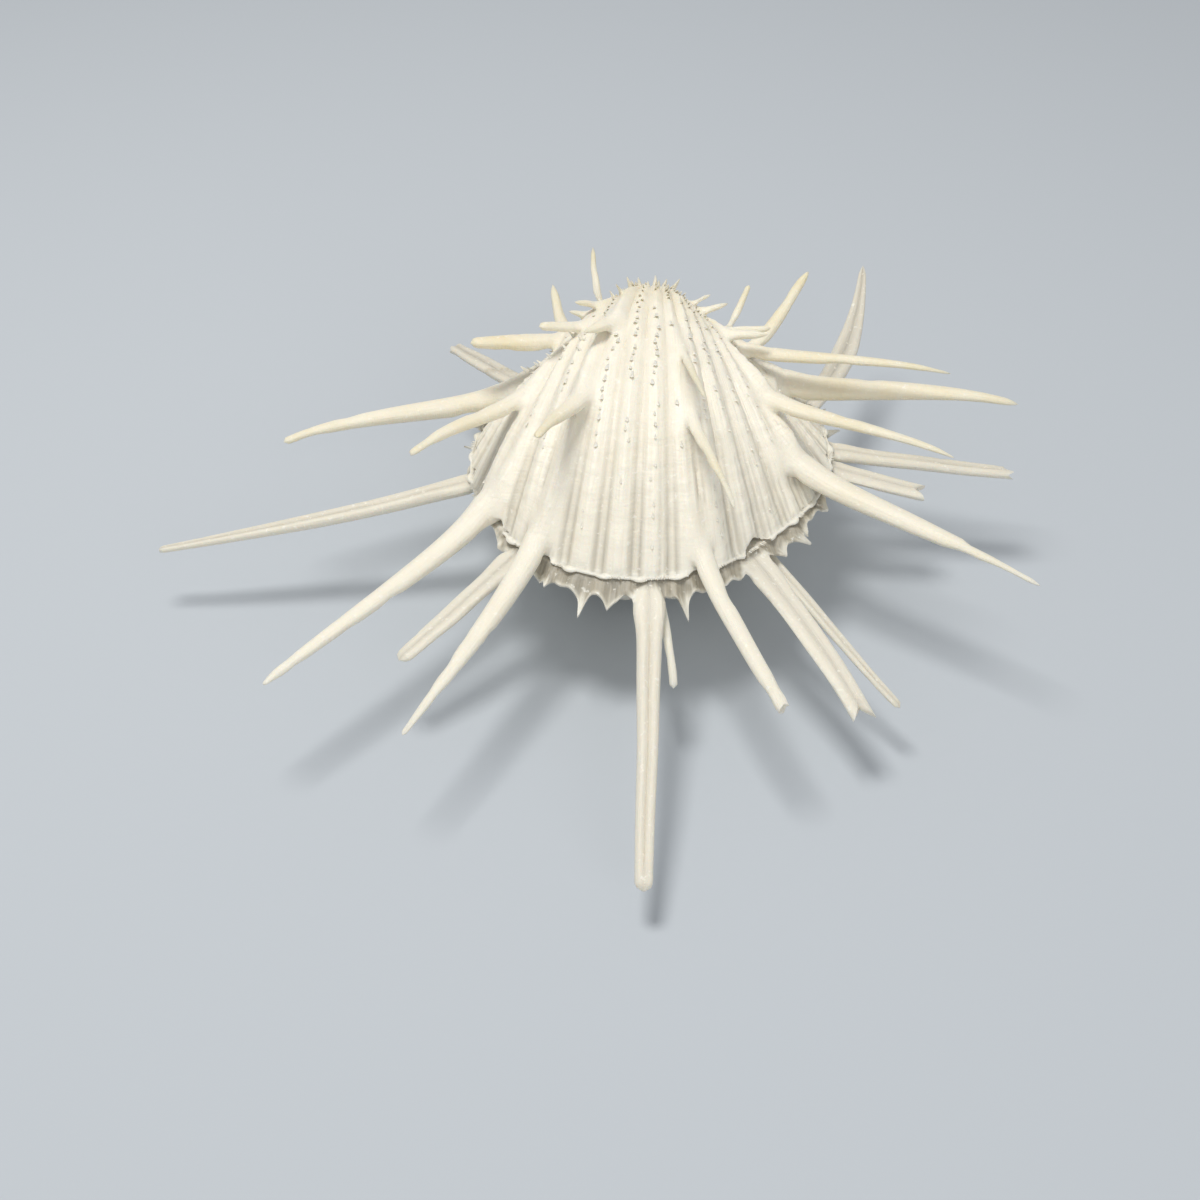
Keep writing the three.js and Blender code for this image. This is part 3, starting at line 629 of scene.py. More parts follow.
def lowerBlank():
    # the lower valve as a grid of growth by angle, closed by a flat fan on the rim plane
    angle = rimAngles(lowerForm["columns"])[None]
    growth = np.linspace(lowerValve["firstGrowth"], 1, lowerForm["rows"] + 1)[:, None]
    point, normal = surfaceFrame(lowerValve, growth, angle)[:2]
    grid = point + normal * lowerRelief(growth, angle)[..., None]
    grid[-1] = growthPoint(lowerValve, 1.0, angle[0])
    grid[-1, :, 2] = rimHeight + 0.05
    return closedGrid(grid, rimMiddle(rimHeight + 0.05))


def frillEdge(degrees):
    # concave arcs between cusps: from each valley the edge climbs to the next cusp as a power
    places, outs = np.array(frill["edge"]).T
    step = np.clip(np.searchsorted(places, degrees, side="right") - 1, 0, len(places) - 2)
    share = (degrees - places[step]) / (places[step + 1] - places[step])
    low, high = outs[step], outs[step + 1]
    climb = np.where(high > low, share**frill["arch"], 1 - (1 - share)**frill["arch"])
    return low + (high - low) * climb


def frillSurface():
    # a thin folded sheet that stands out from the rim to its edge: rows from the rim outwards over the
    # top and back underneath, and a fan over each end
    degrees = np.linspace(frill["from"], frill["to"], frill["columns"] + 1)
    angle = np.radians(degrees)
    edge = frillEdge(degrees)
    share = np.linspace(0, 1, frill["rows"])[:, None]
    out = -frill["rootDepth"] + (edge[None] + frill["rootDepth"]) * share
    lean = np.zeros_like(out)
    for place, length, slope in frill["spikes"]:
        point = length * np.exp(-(np.abs(degrees - place) / frill["spikeWidth"])**1.6)
        point = point[None] * smooth(0.75, 1, share)
        out += point
        lean += np.radians(slope * 0.08) * point
    base = frillPoint(np.broadcast_to(angle, out.shape) + lean, out)
    open = smooth(-1.2, 2.2, out)  # how far the frill has left the rim
    fold = np.cos(2 * np.pi * (degrees[None] + 1.1 * ripple(41, degrees[None] * 0.25)) / frill["foldPitch"])
    uneven = 1 + 0.4 * ripple(42, degrees[None] * 0.2, out * 0.4)
    base[..., 2] += frill["foldHeight"] * fold * open * uneven
    for row in lowerSpines.values():
        if row[1][0] > 1:
            # the frill dips where a spine comes out of it
            base[..., 2] -= 0.9 * np.exp(-((degrees[None] - row[0]) / 1.1)**2) * smooth(0, 4, out)
    ceiling = rimHeight - shell["rimGap"] - frill["lipClearance"]
    base[..., 2] = np.minimum(base[..., 2], ceiling + 0.9 * open)
    thinning = frill["edgeThickness"] - frill["rootThickness"]
    thick = frill["rootThickness"] + thinning * smooth(0, 0.75, share)
    top, under = base.copy(), base[::-1].copy()
    top[..., 2] += thick / 2
    under[..., 2] -= thick[::-1] / 2 + 1.2 * smooth(0.6, 0, share[::-1])
    loop = np.concatenate([top, under])
    ends = [loop[:, 0].mean(0), loop[:, -1].mean(0)]
    points = np.concatenate([loop.transpose(1, 0, 2).reshape(-1, 3), ends])
    return points, *ringFaces(loop.shape[1], loop.shape[0])


def makeLowerValve():
    # the same with the frill, and cut flat underneath by the scar
    points, quads, fan = lowerBlank()
    known = [keysOf(points)]
    valve = addMesh("lower_valve_shell", points, quads, fan)
    points, quads, fans = frillSurface()
    known.append(keysOf(points))
    tools = [addMesh("frillBody", points, quads, fans)]
    for number, (name, row) in enumerate(lowerSpines.items()):
        points, quads, fans = spineSurface(row, lowerRoot(row), 40 + number)
        known.append(keysOf(points))
        tools.append(addMesh(name, points, quads, fans))
    combine(valve, tools, "UNION")
    softenSeams(valve, np.concatenate(known), *seams["lower"])
    rimCut = addMesh("rimCut", *slab(rimHeight - shell["rimGap"] / 2, 2 * rimHeight))
    under, quads, fans = slab(-20, 0)
    scarCut = addMesh("scarCut", under * [3, 3, 1], quads, fans)
    combine(valve, [addMesh("hollow", *cavityOf(lowerValve)), rimCut, scarCut, pocket()], "DIFFERENCE")
    return valve


def nearestSpine(points):
    # for each point: the spine whose middle line is nearest, the distance to it and the place on it
    lines = np.concatenate([line[1] for line in spineLines])
    owner = np.concatenate([np.full(len(line[1]), number) for number, line in enumerate(spineLines)])
    nearest = np.empty(len(points), int)
    for start in range(0, len(points), 4000):
        part = points[start:start + 4000]
        apart = (part**2).sum(1)[:, None] - 2 * part @ lines.T + (lines**2).sum(1)[None]
        nearest[start:start + 4000] = apart.argmin(1)
    return owner[nearest], nearest, np.linalg.norm(points - lines[nearest], axis=1)


def setAttribute(mesh, name, values):
    # one number or one place for each corner
    kind = "FLOAT" if values.ndim == 1 else "FLOAT_VECTOR"
    layer = mesh.attributes.new(name, kind, "POINT")
    layer.data.foreach_set("value" if values.ndim == 1 else "vector", values.astype(np.float32).ravel())


def paint(piece, valve, ribSeed):
    # values that the material reads: tint (yellow with age), thin (translucent, on the frill partly painted
    # shade), painted shade in the grooves between ribs, onSpine, and two places for the grain: one along the
    # ribs, one along each spine
    points = coordinates(piece.data)
    growth, ribAngle = growthOf(valve, points)
    angle = np.radians(ribAngle)
    forward = np.hypot(hingeY - points[:, 1], points[:, 2] - rimHeight)
    above = forward - shell["frontStretch"] * growth * rimReach(angle) * np.cos(angle)
    owner, nearest, apart = nearestSpine(points)
    rows = [line[0] for line in spineLines]
    middle, sideways, upward, run, half = (
        np.concatenate([line[i] for line in spineLines])[nearest] for i in range(1, 6))
    offset = points - middle
    turn = np.arctan2((offset * upward).sum(1), (offset * sideways).sum(1))
    beyond = np.maximum(above, np.where(points[:, 1] > hingeY, 6, 0))
    onSpine = smooth(0.9, 2.6, beyond) * smooth(1.45, 1.1, apart / np.maximum(half, 0.3))
    facts = np.array([(isinstance(row[1], tuple), 1.0 if isinstance(row[1], tuple) else row[1],
                       spineSections[row[8]]["grooveAt"], spineSections[row[8]]["thin"]) for row in rows])
    isLower, ages, grooveAt, thinness = facts[owner].T
    onSpine = onSpine * (isLower == (valve is lowerValve))
    gap = np.angle(np.exp(1j * (turn - np.radians(grooveAt))))
    number, crest = ribWave(angle, growth, ribSeed)
    aged = smooth(1.02, 0.45, ages) * smooth(0, 18, run)
    tint = np.clip(smooth(0.62, 0.25, growth) * 0.55 * (1 - onSpine) + onSpine * aged, 0, 1)
    spineThin = thinness * (0.35 + 0.65 * np.exp(-(gap / 0.9)**2))
    # near the upper rim the wall is thin between white riblets
    white = np.maximum(crest**6, ribletWave(number, growth))
    rimThinAndFrillShade = 0.58 * smooth(0.68, 1, growth) * smooth(0.5, 0.2, above) * (1 - white)
    if valve is lowerValve:
        # the frill is thin and translucent all over except along its edge; its darker grey is partly painted
        # shade, deepest at its root under the upper valve's lip
        out = ((points - growthPoint(lowerValve, 1.0, angle)) * rimOutward(angle)).sum(1)
        inside = frillEdge(np.clip(ribAngle, frill["from"], frill["to"])) - out
        onFrill = smooth(-1.5, 0.5, out) * smooth(7, 1.5, rimHeight - points[:, 2])
        rimThinAndFrillShade = onFrill * (0.35 + 0.6 * smooth(0.1, 0.7, inside))
    painted = {
        "tint": tint,
        "thin": np.clip(rimThinAndFrillShade * (1 - onSpine) + spineThin * onSpine, 0, 1),
        # painted shade: a share that darkens the grooves between ribs
        "grooveshade": (1 - crest) * (1 - onSpine),
        "onSpine": onSpine,
        "ribGrain": np.stack([ribAngle / 1.1, growth * 5, 0 * growth], -1),
        "spineGrain": np.stack([2.2 * np.cos(turn), 2.2 * np.sin(turn), owner * 3.7 + run * 0.07], -1),
    }
    for name, values in painted.items():
        setAttribute(piece.data, name, values)


# Hooded scales on the ribs: small vaulted tiles that rise out of the rib and end in a pointed hollow
# arch towards the rim. Beak and flanks carry thorns as well: growth, rib angle and height of each.
# The lip has fine teeth, except at its gaps: degrees and half width of each.
scaleForm = {
    "meanStep": 1.9, "firstStep": 0.75, "lastStep": 3.6, "from": 0.2, "to": 0.95, "skipped": 0.26,
    "fullRibs": (-2, -1, 0, 1, 2, 4), "spineClearance": 3,
    "radius": 0.5, "height": 0.5, "reach": 3.4, "overhang": 0.85, "wall": 0.34,
    "toothReach": 0.8, "toothTries": 420, "teethFrom": -66, "teethTo": 72,
    "toothGaps": ((-21.5, 3), (-34, 3.5), (5.5, 2.5), (32, 4)),
    "thorns": ((0.325, -16, 2.8), (0.31, -11.5, 2.4), (0.305, -7, 1.4), (0.305, -3, 2.0), (0.3, -1, 1.3),
               (0.31, 3, 1.8), (0.3, 10, 3.6), (0.36, -24, 2.0), (0.385, -29, 1.8), (0.24, -14, 1.6),
               (0.22, 4, 1.8), (0.26, 18, 1.5), (0.25, -30, 1.7), (0.34, 30, 1.4), (0.47, 47, 1.6),
               (0.54, -20.5, 1.3), (0.55, -26, 1.6), (0.58, -25, 1.2), (0.53, -31.5, 1.5), (0.57, -32, 1.7),
               (0.6, -37, 1.5), (0.62, -43.5, 1.6), (0.66, -49, 1.7), (0.69, -55, 1.6), (0.64, -54, 1.3),
               (0.8, 61, 1.5), (0.86, 66, 1.7), (0.83, 72, 1.4), (0.9, 55, 1.5)),
}


def hood():
    # across turns from one edge of the arch to the other, along runs from the rib to the open end
    columns, rows = 7, 3
    across, along = np.meshgrid(np.linspace(-1, 1, columns), np.linspace(0, 1, rows), indexing="ij")
    skins = []
    for wall in (0, scaleForm["wall"]):
        middle = (1 - np.abs(across))**1.7
        skins.append(np.stack([
            np.sin(across * 1.4) * (0.35 + 0.65 * along) * (1 - wall),
            scaleForm["reach"] * (along - 1) + scaleForm["overhang"] * middle * along,
            (1 - across**2)**0.7 * along**1.3 * (1 - 0.8 * wall) + 0.5 * middle * along**2
            - 0.1 - 0.5 * wall * (1 - along),
        ], -1).reshape(-1, 3))
    count = columns * rows
    index = np.arange(count).reshape(columns, rows)
    outer = np.stack([index[:-1, :-1], index[1:, :-1], index[1:, 1:], index[:-1, 1:]], -1).reshape(-1, 4)
    border = np.concatenate([index[:, 0], index[-1, 1:], index[-2::-1, -1], index[0, -2:0:-1]])
    after = np.roll(border, -1)
    sides = np.stack([after, border, border + count, after + count], -1)
    return np.concatenate(skins), np.concatenate([outer, outer[:, ::-1] + count, sides])


def thorn():
    # a slender cone of six sides, a little bent, with a blunt closed tip
    turn = np.arange(6) * math.pi / 3
    rings = [np.stack([radius * np.cos(turn), radius * np.sin(turn) + bend, turn * 0 + up], -1)
             for radius, bend, up in ((1.3, 0, -0.3), (0.75, 0, 0.22), (0.5, 0.1, 0.6), (0.2, 0.3, 1))]
    index = np.arange(24).reshape(4, 6)
    after = np.roll(index, -1, axis=1)
    walls = np.stack([index[:-1], after[:-1], after[1:], index[1:]], -1).reshape(-1, 4)
    top, bottom = index[-1], index[0, ::-1]
    caps = np.array([[ring[0], ring[1], ring[2], ring[3]] for ring in (top, bottom)]
                    + [[ring[0], ring[3], ring[4], ring[5]] for ring in (top, bottom)])
    return np.concatenate(rings), np.concatenate([walls, caps])


def spread(template, places, lateral, ahead, up):
    # copies a small shape to many places at once: each copy is its own mix of three directions
    points, quads = template
    copies = (places[:, None] + points[None, :, 0, None] * lateral[:, None]
              + points[None, :, 1, None] * ahead[:, None] + points[None, :, 2, None] * up[:, None])
    shift = (np.arange(len(places)) * len(points))[:, None, None]
    return copies.reshape(-1, 3), (quads[None] + shift).reshape(-1, 4)


def scalePlaces(random):
    # places along each rib at steps that widen with age, without those where a spine stands
    growths, angles, sizes = [], [], []
    fine = np.linspace(scaleForm["from"], scaleForm["to"], 300)
    for number in range(-14, 15):
        rib = ribbing["first"] + ribbing["pitch"] * number
        line = growthPoint(upperValve, fine, np.radians(rib))
        run = np.concatenate([[0], np.cumsum(np.linalg.norm(np.diff(line, axis=0), axis=1))])
        count = int(run[-1] / scaleForm["meanStep"])
        steps = np.linspace(scaleForm["firstStep"], scaleForm["lastStep"], count)
        steps = steps * random.uniform(0.75, 1.25, count)
        growth = np.interp(np.cumsum(steps) * min(1, run[-1] / steps.sum()), run, fine)
        angle = rib + random.normal(0, 0.25, count) / growth
        central = number in scaleForm["fullRibs"]
        size = random.uniform(0.7, 1.15, count) * (1 if central else 0.8)
        size = size * (1 - 0.4 * smooth(0.6, 0.95, growth))
        size = size * (1 + 0.45 * smooth(38, 50, abs(rib)) * smooth(0.75, 0.65, growth))
        skipped = scaleForm["skipped"] + (0.4 if central else 0.6) * smooth(0.68, 0.86, growth)
        keep = (random.uniform(0, 1, count) > skipped) & (np.abs(angle) < 82)
        for row in upperSpines.values():
            older = row[1] - growth
            beside = np.abs(angle - row[0]) >= scaleForm["spineClearance"]
            keep &= beside | (older >= 0.16) | (older <= -0.05)
        growths.append(growth[keep])
        angles.append(angle[keep])
        sizes.append(size[keep])
    return np.concatenate(growths), np.concatenate(angles), np.concatenate(sizes)


def placedOn(growth, rib, sink):
    # the place on the ribbed surface and the three directions there
    angle = np.radians(rib)
    point, normal, growing, along = surfaceFrame(upperValve, growth, angle)
    return point + normal * (upperRelief(growth, angle) - sink)[:, None], along, growing, normal


def makeScales():
    # scales along the ribs, thorns at their own places and teeth on the lip, as one object
    random = np.random.default_rng(5)
    growth, rib, size = scalePlaces(random)
    point, along, growing, normal = placedOn(growth, rib, 0.08)
    beak = smooth(0.5, 0.3, growth)
    tall = scaleForm["height"] * size * (1 + beak * random.uniform(0, 1.4, len(size)))
    slim = scaleForm["radius"] * size * (1 - 0.35 * beak)
    parts = [spread(hood(), point, along * slim[:, None], growing * slim[:, None], normal * tall[:, None])]
    growth, rib, height = np.array(scaleForm["thorns"]).T
    point, along, growing, normal = placedOn(growth, rib, 0.15)
    slim = 0.36 + 0.13 * height[:, None]
    parts.append(spread(thorn(), point, along * slim, growing * slim, normal * height[:, None]))
    teeth = random.uniform(scaleForm["teethFrom"], scaleForm["teethTo"], scaleForm["toothTries"])
    lobe, tooth = lipWave(np.radians(teeth))
    clear = [np.abs(teeth - gap) > half for gap, half in scaleForm["toothGaps"]]
    keep = np.all(clear, axis=0) & (tooth > 0.6)
    turn, lobe = np.radians(teeth[keep]), lobe[keep]
    outward = rimOutward(turn)
    beyond = ribbing["lipReach"] * (0.35 + 0.65 * lobe) - 0.2
    place = growthPoint(upperValve, 1.0, turn) + outward * beyond[:, None]
    place[:, 2] = rimHeight + shell["rimGap"] / 2 + 0.3
    up = np.zeros_like(place) + [0, 0, 1]
    thick = random.uniform(0.12, 0.2, len(turn))[:, None]
    reach = scaleForm["toothReach"] * random.uniform(0.5, 1.3, len(turn))[:, None]
    along = np.cross(outward, up)
    parts.append(spread(thorn(), place, along * thick, up * thick, (outward + 0.15 * up) * reach))
    shift = np.cumsum([0] + [len(part[0]) for part in parts])
    return addMesh("upper_valve_scales", np.concatenate([part[0] for part in parts]),
                   np.concatenate([part[1] + start for part, start in zip(parts, shift)]))


def report(piece):
    # a line with the piece's size for the log
    piece.data.calc_loop_triangles()
    print(piece.name, len(piece.data.vertices), "corners", len(piece.data.loop_triangles), "triangles")


def finishPiece(piece, material):
    # smooth shading with edges where faces meet at more than 60 degrees
    piece.data.shade_smooth()
    piece.data.set_sharp_from_angle(angle=math.radians(60))
    piece.data.materials.clear()
    piece.data.materials.append(material)
    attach(piece, "root")
    report(piece)


def wire(tree, kind, values=None, **settings):
    # a node with its plain values set; values that are sockets are linked
    node = tree.nodes.new(kind)
    for key, value in settings.items():
        setattr(node, key, value)
    for key, value in (values or {}).items():
        if isinstance(value, bpy.types.NodeSocket):
            tree.links.new(value, node.inputs[key])
        else:
            node.inputs[key].default_value = value
    return node


def newGroup(name, inputs, outputs):
    # an empty node group with its sockets
    group = bpy.data.node_groups.new(name, "ShaderNodeTree")
    for socket, kind, value in inputs:
        made = group.interface.new_socket(socket, in_out="INPUT", socket_type=kind)
        if value is not None:
            made.default_value = value
    for socket, kind in outputs:
        group.interface.new_socket(socket, in_out="OUTPUT", socket_type=kind)
    return group, group.nodes.new("NodeGroupInput"), group.nodes.new("NodeGroupOutput")


def mixColours(tree, share, first, second):
    # share of the second colour over the first
    node = tree.nodes.new("ShaderNodeMix")
    node.data_type = "RGBA"
    for key, value in (("Factor_Float", share), ("A_Color", first), ("B_Color", second)):
        socket = next(i for i in node.inputs if i.identifier == key)
        if isinstance(value, bpy.types.NodeSocket):
            tree.links.new(value, socket)
        else:
            socket.default_value = value
    return next(o for o in node.outputs if o.identifier == "Result_Color")


def ramp(tree, value, low, high, toLow=0.0, toHigh=1.0):
    # value between low and high, spread from toLow to toHigh
    node = wire(tree, "ShaderNodeMapRange", {"Value": value, "From Min": low, "From Max": high,
                                             "To Min": toLow, "To Max": toHigh})
    return node.outputs["Result"]


def calc(tree, first, second, operation="MULTIPLY"):
    # one step of arithmetic on two values
    node = tree.nodes.new("ShaderNodeMath")
    node.operation = operation
    for socket, value in zip(node.inputs, (first, second)):
        if isinstance(value, bpy.types.NodeSocket):
            tree.links.new(value, socket)
        else:
            socket.default_value = value
    return node.outputs[0]


def noise(tree, vector, scale, detail, rough=0.5):
    # soft random values around a half
    node = wire(tree, "ShaderNodeTexNoise", {"Vector": vector, "Scale": scale, "Detail": detail,
                                             "Roughness": rough})
    return node.outputs["Fac"]


# Colours and depths of the waxy shell, depths in metres. The colour for the grooves is painted shade between
# the ribs;
# clear is the thin translucent shell, and on the frill partly painted shade under the upper valve's lip
waxy = {
    "cream": (0.885, 0.845, 0.735, 1), "yellow": (0.82, 0.745, 0.54, 1), "clear": (0.28, 0.26, 0.21, 1),
    "chalk": (0.8, 0.77, 0.69, 1), "grooveshade": (0.62, 0.55, 0.42, 1), "streak": (0.66, 0.58, 0.43, 1),
    "fleck": (0.95, 0.93, 0.86, 1),
    "softness": 0.3, "softDepth": 0.0022, "softSpread": (1.0, 0.78, 0.55), "reliefDepth": 0.00022,
}


def shellColourGroup():
    # cream shell: yellower with tint, greyer and warmer where thin (on the frill partly painted shade), with
    # painted shade darkening the grooves, streaked along the grain, with soft mottles and small white flecks
    group, given, result = newGroup("shellColour", [
        ("Tint", "NodeSocketFloat", 0), ("Thin", "NodeSocketFloat", 0), ("Grooveshade", "NodeSocketFloat", 0),
        ("Streak", "NodeSocketFloat", 0), ("Place", "NodeSocketVector", None),
        ("Cream", "NodeSocketColor", None), ("Yellow", "NodeSocketColor", None),
        ("Clear", "NodeSocketColor", None)],
        [("Color", "NodeSocketColor"), ("Roughness", "NodeSocketFloat")])
    mottle = noise(group, given.outputs["Place"], 90, 4, 0.6)
    streak = given.outputs["Streak"]
    fleck = noise(group, given.outputs["Place"], 900, 2)
    aged = calc(group, given.outputs["Tint"], ramp(group, mottle, 0.35, 0.65, 0.55, 1.25))
    aged = calc(group, aged, ramp(group, mottle, 0.5, 0.75, 0.0, 0.12), "ADD")
    colour = mixColours(group, aged, given.outputs["Cream"], given.outputs["Yellow"])
    # thin parts turn towards the clear colour; on the frill this darkening is partly painted shade
    clear = calc(group, given.outputs["Thin"], ramp(group, streak, 0.3, 0.7, 0.75, 1.1))
    colour = mixColours(group, clear, colour, given.outputs["Clear"])
    # painted shade: darker in the grooves between ribs
    dark = calc(group, given.outputs["Grooveshade"], ramp(group, mottle, 0.3, 0.7, 0.12, 0.3))
    colour = mixColours(group, dark, colour, waxy["grooveshade"])
    colour = mixColours(group, ramp(group, streak, 0.45, 0.3, 0.0, 0.16), colour, waxy["streak"])
    colour = mixColours(group, ramp(group, fleck, 0.63, 0.72, 0.0, 0.5), colour, waxy["fleck"])
    group.links.new(colour, result.inputs["Color"])
    group.links.new(ramp(group, streak, 0.3, 0.7, 0.52, 0.36), result.inputs["Roughness"])
    return group


def shellReliefGroup():
    # fine relief: streaks along the grain, growth lines across it, pits and a soft unevenness
    group, given, result = newGroup("shellRelief", [
        ("Streak", "NodeSocketFloat", 0), ("Line", "NodeSocketFloat", 0),
        ("Place", "NodeSocketVector", None)],
        [("Height", "NodeSocketFloat")])
    streak, line = given.outputs["Streak"], given.outputs["Line"]
    pits = noise(group, given.outputs["Place"], 1500, 3, 0.6)
    uneven = noise(group, given.outputs["Place"], 260, 3, 0.55)
    height = calc(group, streak, 0.65)
    height = calc(group, height, calc(group, line, 0.6), "ADD")
    height = calc(group, height, calc(group, pits, 0.3), "ADD")
    height = calc(group, height, calc(group, uneven, 0.9), "ADD")
    group.links.new(height, result.inputs["Height"])
    return group


def grainGroup():
    # streaks that run along the ribs on the valve and along each spine, and growth lines across them
    group, given, result = newGroup("shellGrain", [
        ("RibGrain", "NodeSocketVector", None), ("SpineGrain", "NodeSocketVector", None),
        ("OnSpine", "NodeSocketFloat", 0)], [("Streak", "NodeSocketFloat"), ("Fine", "NodeSocketFloat"),
                                             ("Line", "NodeSocketFloat")])
    for key, scale, stretch in (("Streak", 1.6, (1, 1, 1)), ("Fine", 2.4, (1, 1, 1)), ("Line", 2.0, None)):
        made = []
        for grain, lines in (("RibGrain", (0.12, 14, 1)), ("SpineGrain", (0.3, 0.3, 22))):
            placed = wire(group, "ShaderNodeMapping", {"Vector": given.outputs[grain],
                                                       "Scale": stretch or lines})
            made.append(noise(group, placed.outputs["Vector"], scale, 3, 0.6))
        mixed = wire(group, "ShaderNodeMix")
        for name, value in (("Factor_Float", given.outputs["OnSpine"]),
                            ("A_Float", made[0]), ("B_Float", made[1])):
            group.links.new(value, next(i for i in mixed.inputs if i.identifier == name))
        group.links.new(next(o for o in mixed.outputs if o.identifier == "Result_Float"), result.inputs[key])
    return group


shellGrain, shellColour, shellRelief = grainGroup(), shellColourGroup(), shellReliefGroup()


def shellMaterial(name, chalky=False):
    # waxy shell with light under its surface, and a dull chalky scar where the valve was cut
    material = bpy.data.materials.new(name)
    material.use_nodes = True
    tree = material.node_tree
    shader = tree.nodes["Principled BSDF"]
    place = tree.nodes.new("ShaderNodeTexCoord").outputs["Object"]
    read = {key: wire(tree, "ShaderNodeAttribute", attribute_name=key)
            for key in ("tint", "thin", "grooveshade", "onSpine", "ribGrain", "spineGrain")}
    grain = wire(tree, "ShaderNodeGroup", node_tree=shellGrain)
    tree.links.new(read["ribGrain"].outputs["Vector"], grain.inputs["RibGrain"])
    tree.links.new(read["spineGrain"].outputs["Vector"], grain.inputs["SpineGrain"])
    tree.links.new(read["onSpine"].outputs["Fac"], grain.inputs["OnSpine"])
    colour = wire(tree, "ShaderNodeGroup", node_tree=shellColour)
    relief = wire(tree, "ShaderNodeGroup", node_tree=shellRelief)
    for key in ("tint", "thin", "grooveshade"):
        tree.links.new(read[key].outputs["Fac"], colour.inputs[key.title()])
    for group in (colour, relief):
        tree.links.new(place, group.inputs["Place"])
    tree.links.new(grain.outputs["Streak"], colour.inputs["Streak"])
    tree.links.new(grain.outputs["Fine"], relief.inputs["Streak"])
    tree.links.new(grain.outputs["Line"], relief.inputs["Line"])
    for key in ("cream", "yellow", "clear"):
        colour.inputs[key.title()].default_value = waxy[key]
    base, rough = colour.outputs["Color"], colour.outputs["Roughness"]
    if chalky:
        height = wire(tree, "ShaderNodeSeparateXYZ", {"Vector": place}).outputs["Z"]
        scar = ramp(tree, height, 0.0004, 0.0001)
        base = mixColours(tree, scar, base, waxy["chalk"])
        rough = calc(tree, rough, calc(tree, scar, 0.4), "ADD")
    tree.links.new(base, shader.inputs["Base Color"])
    tree.links.new(rough, shader.inputs["Roughness"])
    bump = wire(tree, "ShaderNodeBump", {"Height": relief.outputs["Height"], "Strength": 1.0,
                                         "Distance": waxy["reliefDepth"]})
    tree.links.new(bump.outputs["Normal"], shader.inputs["Normal"])
    shader.inputs["Subsurface Weight"].default_value = waxy["softness"]
    shader.inputs["Subsurface Radius"].default_value = waxy["softSpread"]
    shader.inputs["Subsurface Scale"].default_value = waxy["softDepth"]
    return material


def plainMaterial(name, colour, rough):
    material = bpy.data.materials.new(name)
    material.use_nodes = True
    shader = material.node_tree.nodes["Principled BSDF"]
    shader.inputs["Base Color"].default_value = (*colour, 1)
    shader.inputs["Roughness"].default_value = rough
    return material


# Colours and layers of the ligament, the relief in metres
horn = {
    "dark": (0.035, 0.018, 0.01, 1), "pale": (0.14, 0.08, 0.04, 1), "layers": (300, 2600, 2600),
    "reliefDepth": 0.0002,
}


def hornMaterial():
    # dark brown horn in fine layers across the hinge
    material = plainMaterial("hornyLigament", horn["dark"][:3], 0.6)
    tree = material.node_tree
    shader = tree.nodes["Principled BSDF"]
    place = tree.nodes.new("ShaderNodeTexCoord").outputs["Object"]
    layers = wire(tree, "ShaderNodeMapping", {"Vector": place, "Scale": horn["layers"]})
    band = noise(tree, layers.outputs["Vector"], 1.0, 4, 0.6)
    colour = mixColours(tree, ramp(tree, band, 0.35, 0.65), horn["dark"], horn["pale"])
    tree.links.new(colour, shader.inputs["Base Color"])
    tree.links.new(ramp(tree, band, 0.3, 0.7, 0.45, 0.75), shader.inputs["Roughness"])
    bump = wire(tree, "ShaderNodeBump", {"Height": band, "Strength": 0.8, "Distance": horn["reliefDepth"]})
    tree.links.new(bump.outputs["Normal"], shader.inputs["Normal"])
    return material


print("upper valve")
upper = makeUpperValve()
print("scales")
scales = makeScales()
print("lower valve")
lower = makeLowerValve()
print("materials")
paint(upper, upperValve, 11)
paint(scales, upperValve, 11)
paint(lower, lowerValve, 31)
upperWax = shellMaterial("waxyUpperValve")
lowerWax = shellMaterial("waxyLowerValve", chalky=True)
finishPiece(upper, upperWax)
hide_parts("upper_valve")
finishPiece(scales, upperWax)
finishPiece(lower, lowerWax)
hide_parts("lower_valve")
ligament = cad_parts["hinge_ligament"]
ligament.data.materials.clear()
ligament.data.materials.append(hornMaterial())

print("stage")
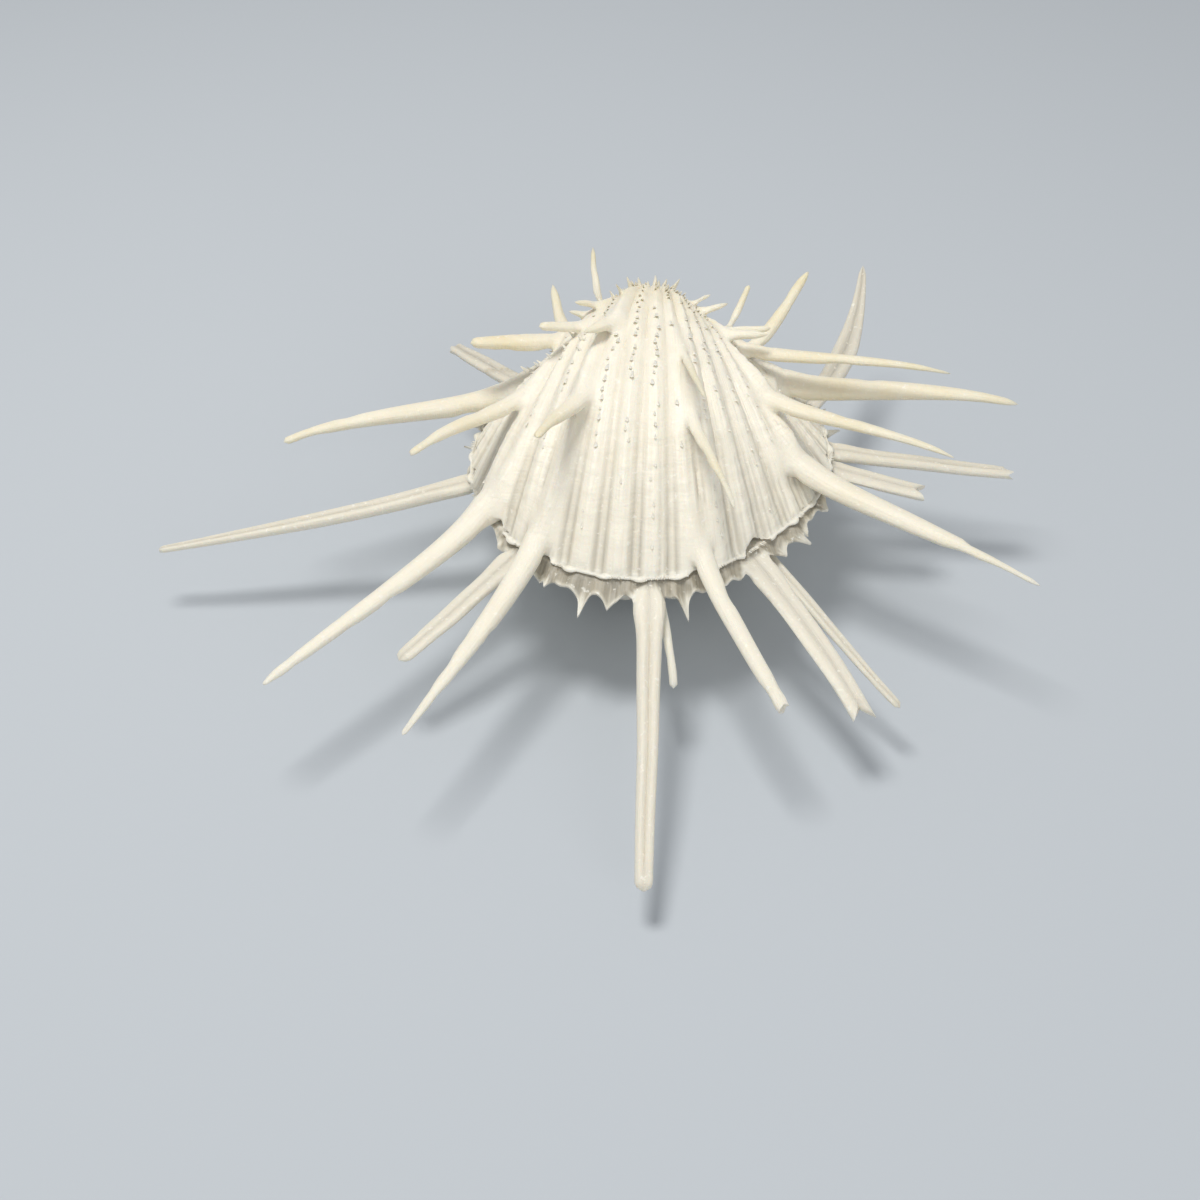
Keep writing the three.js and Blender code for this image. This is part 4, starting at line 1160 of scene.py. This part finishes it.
# Floor, lights and camera. keyLight, fillLight: place in metres, size, power and colour. aim and
# distance: millimetres. elevation: degrees above the floor.
stage = {
    "floor": (0.5, 0.54, 0.585), "worldLight": 0.47, "lightAim": (0, 0, 0.03),
    "keyLight": ((-0.2, 0.02, 0.85), 0.3, 4.5, (1, 0.975, 0.93)),
    "fillLight": ((0.35, -0.9, 0.5), 0.6, 2.1, (1, 1, 1)),
    "lens": 50, "sensor": 36, "aim": (-14, -33, 8), "elevation": 40, "distance": 370,
}


def makeStage():
    # a plain floor and an even soft light from all round
    floor = bpy.data.meshes.new("floor")
    floor.from_pydata([(-3, -3, 0), (3, -3, 0), (3, 3, 0), (-3, 3, 0)], [], [(0, 1, 2, 3)])
    floor.materials.append(plainMaterial("paleFloor", stage["floor"], 0.9))
    plane = bpy.data.objects.new("floor", floor)
    bpy.context.scene.collection.objects.link(plane)
    world = bpy.data.worlds.new("softRoom")
    bpy.context.scene.world = world
    world.use_nodes = True
    world.node_tree.nodes["Background"].inputs["Color"].default_value = (1, 1, 1, 1)
    world.node_tree.nodes["Background"].inputs["Strength"].default_value = stage["worldLight"]
    bpy.context.scene.view_settings.view_transform = "Standard"


def addLight(name):
    # a round lamp that faces the shell
    place, size, power, colour = stage[name]
    lamp = bpy.data.lights.new(name, "AREA")
    lamp.shape, lamp.size, lamp.energy, lamp.color = "DISK", size, power, colour
    light = bpy.data.objects.new(name, lamp)
    light.location = place
    towards = Vector(stage["lightAim"]) - Vector(place)
    light.rotation_euler = towards.to_track_quat("-Z", "Y").to_euler()
    bpy.context.scene.collection.objects.link(light)


makeStage()
addLight("keyLight")
addLight("fillLight")

camera = bpy.data.objects.new("camera", bpy.data.cameras.new("camera"))
camera.data.lens, camera.data.sensor_width = stage["lens"], stage["sensor"]
lift = math.radians(stage["elevation"])
back = Vector((0, -math.cos(lift), math.sin(lift)))
camera.location = (Vector(stage["aim"]) + back * stage["distance"]) * mm
camera.rotation_euler = (-back).to_track_quat("-Z", "Y").to_euler()
bpy.context.scene.collection.objects.link(camera)
bpy.context.scene.camera = camera
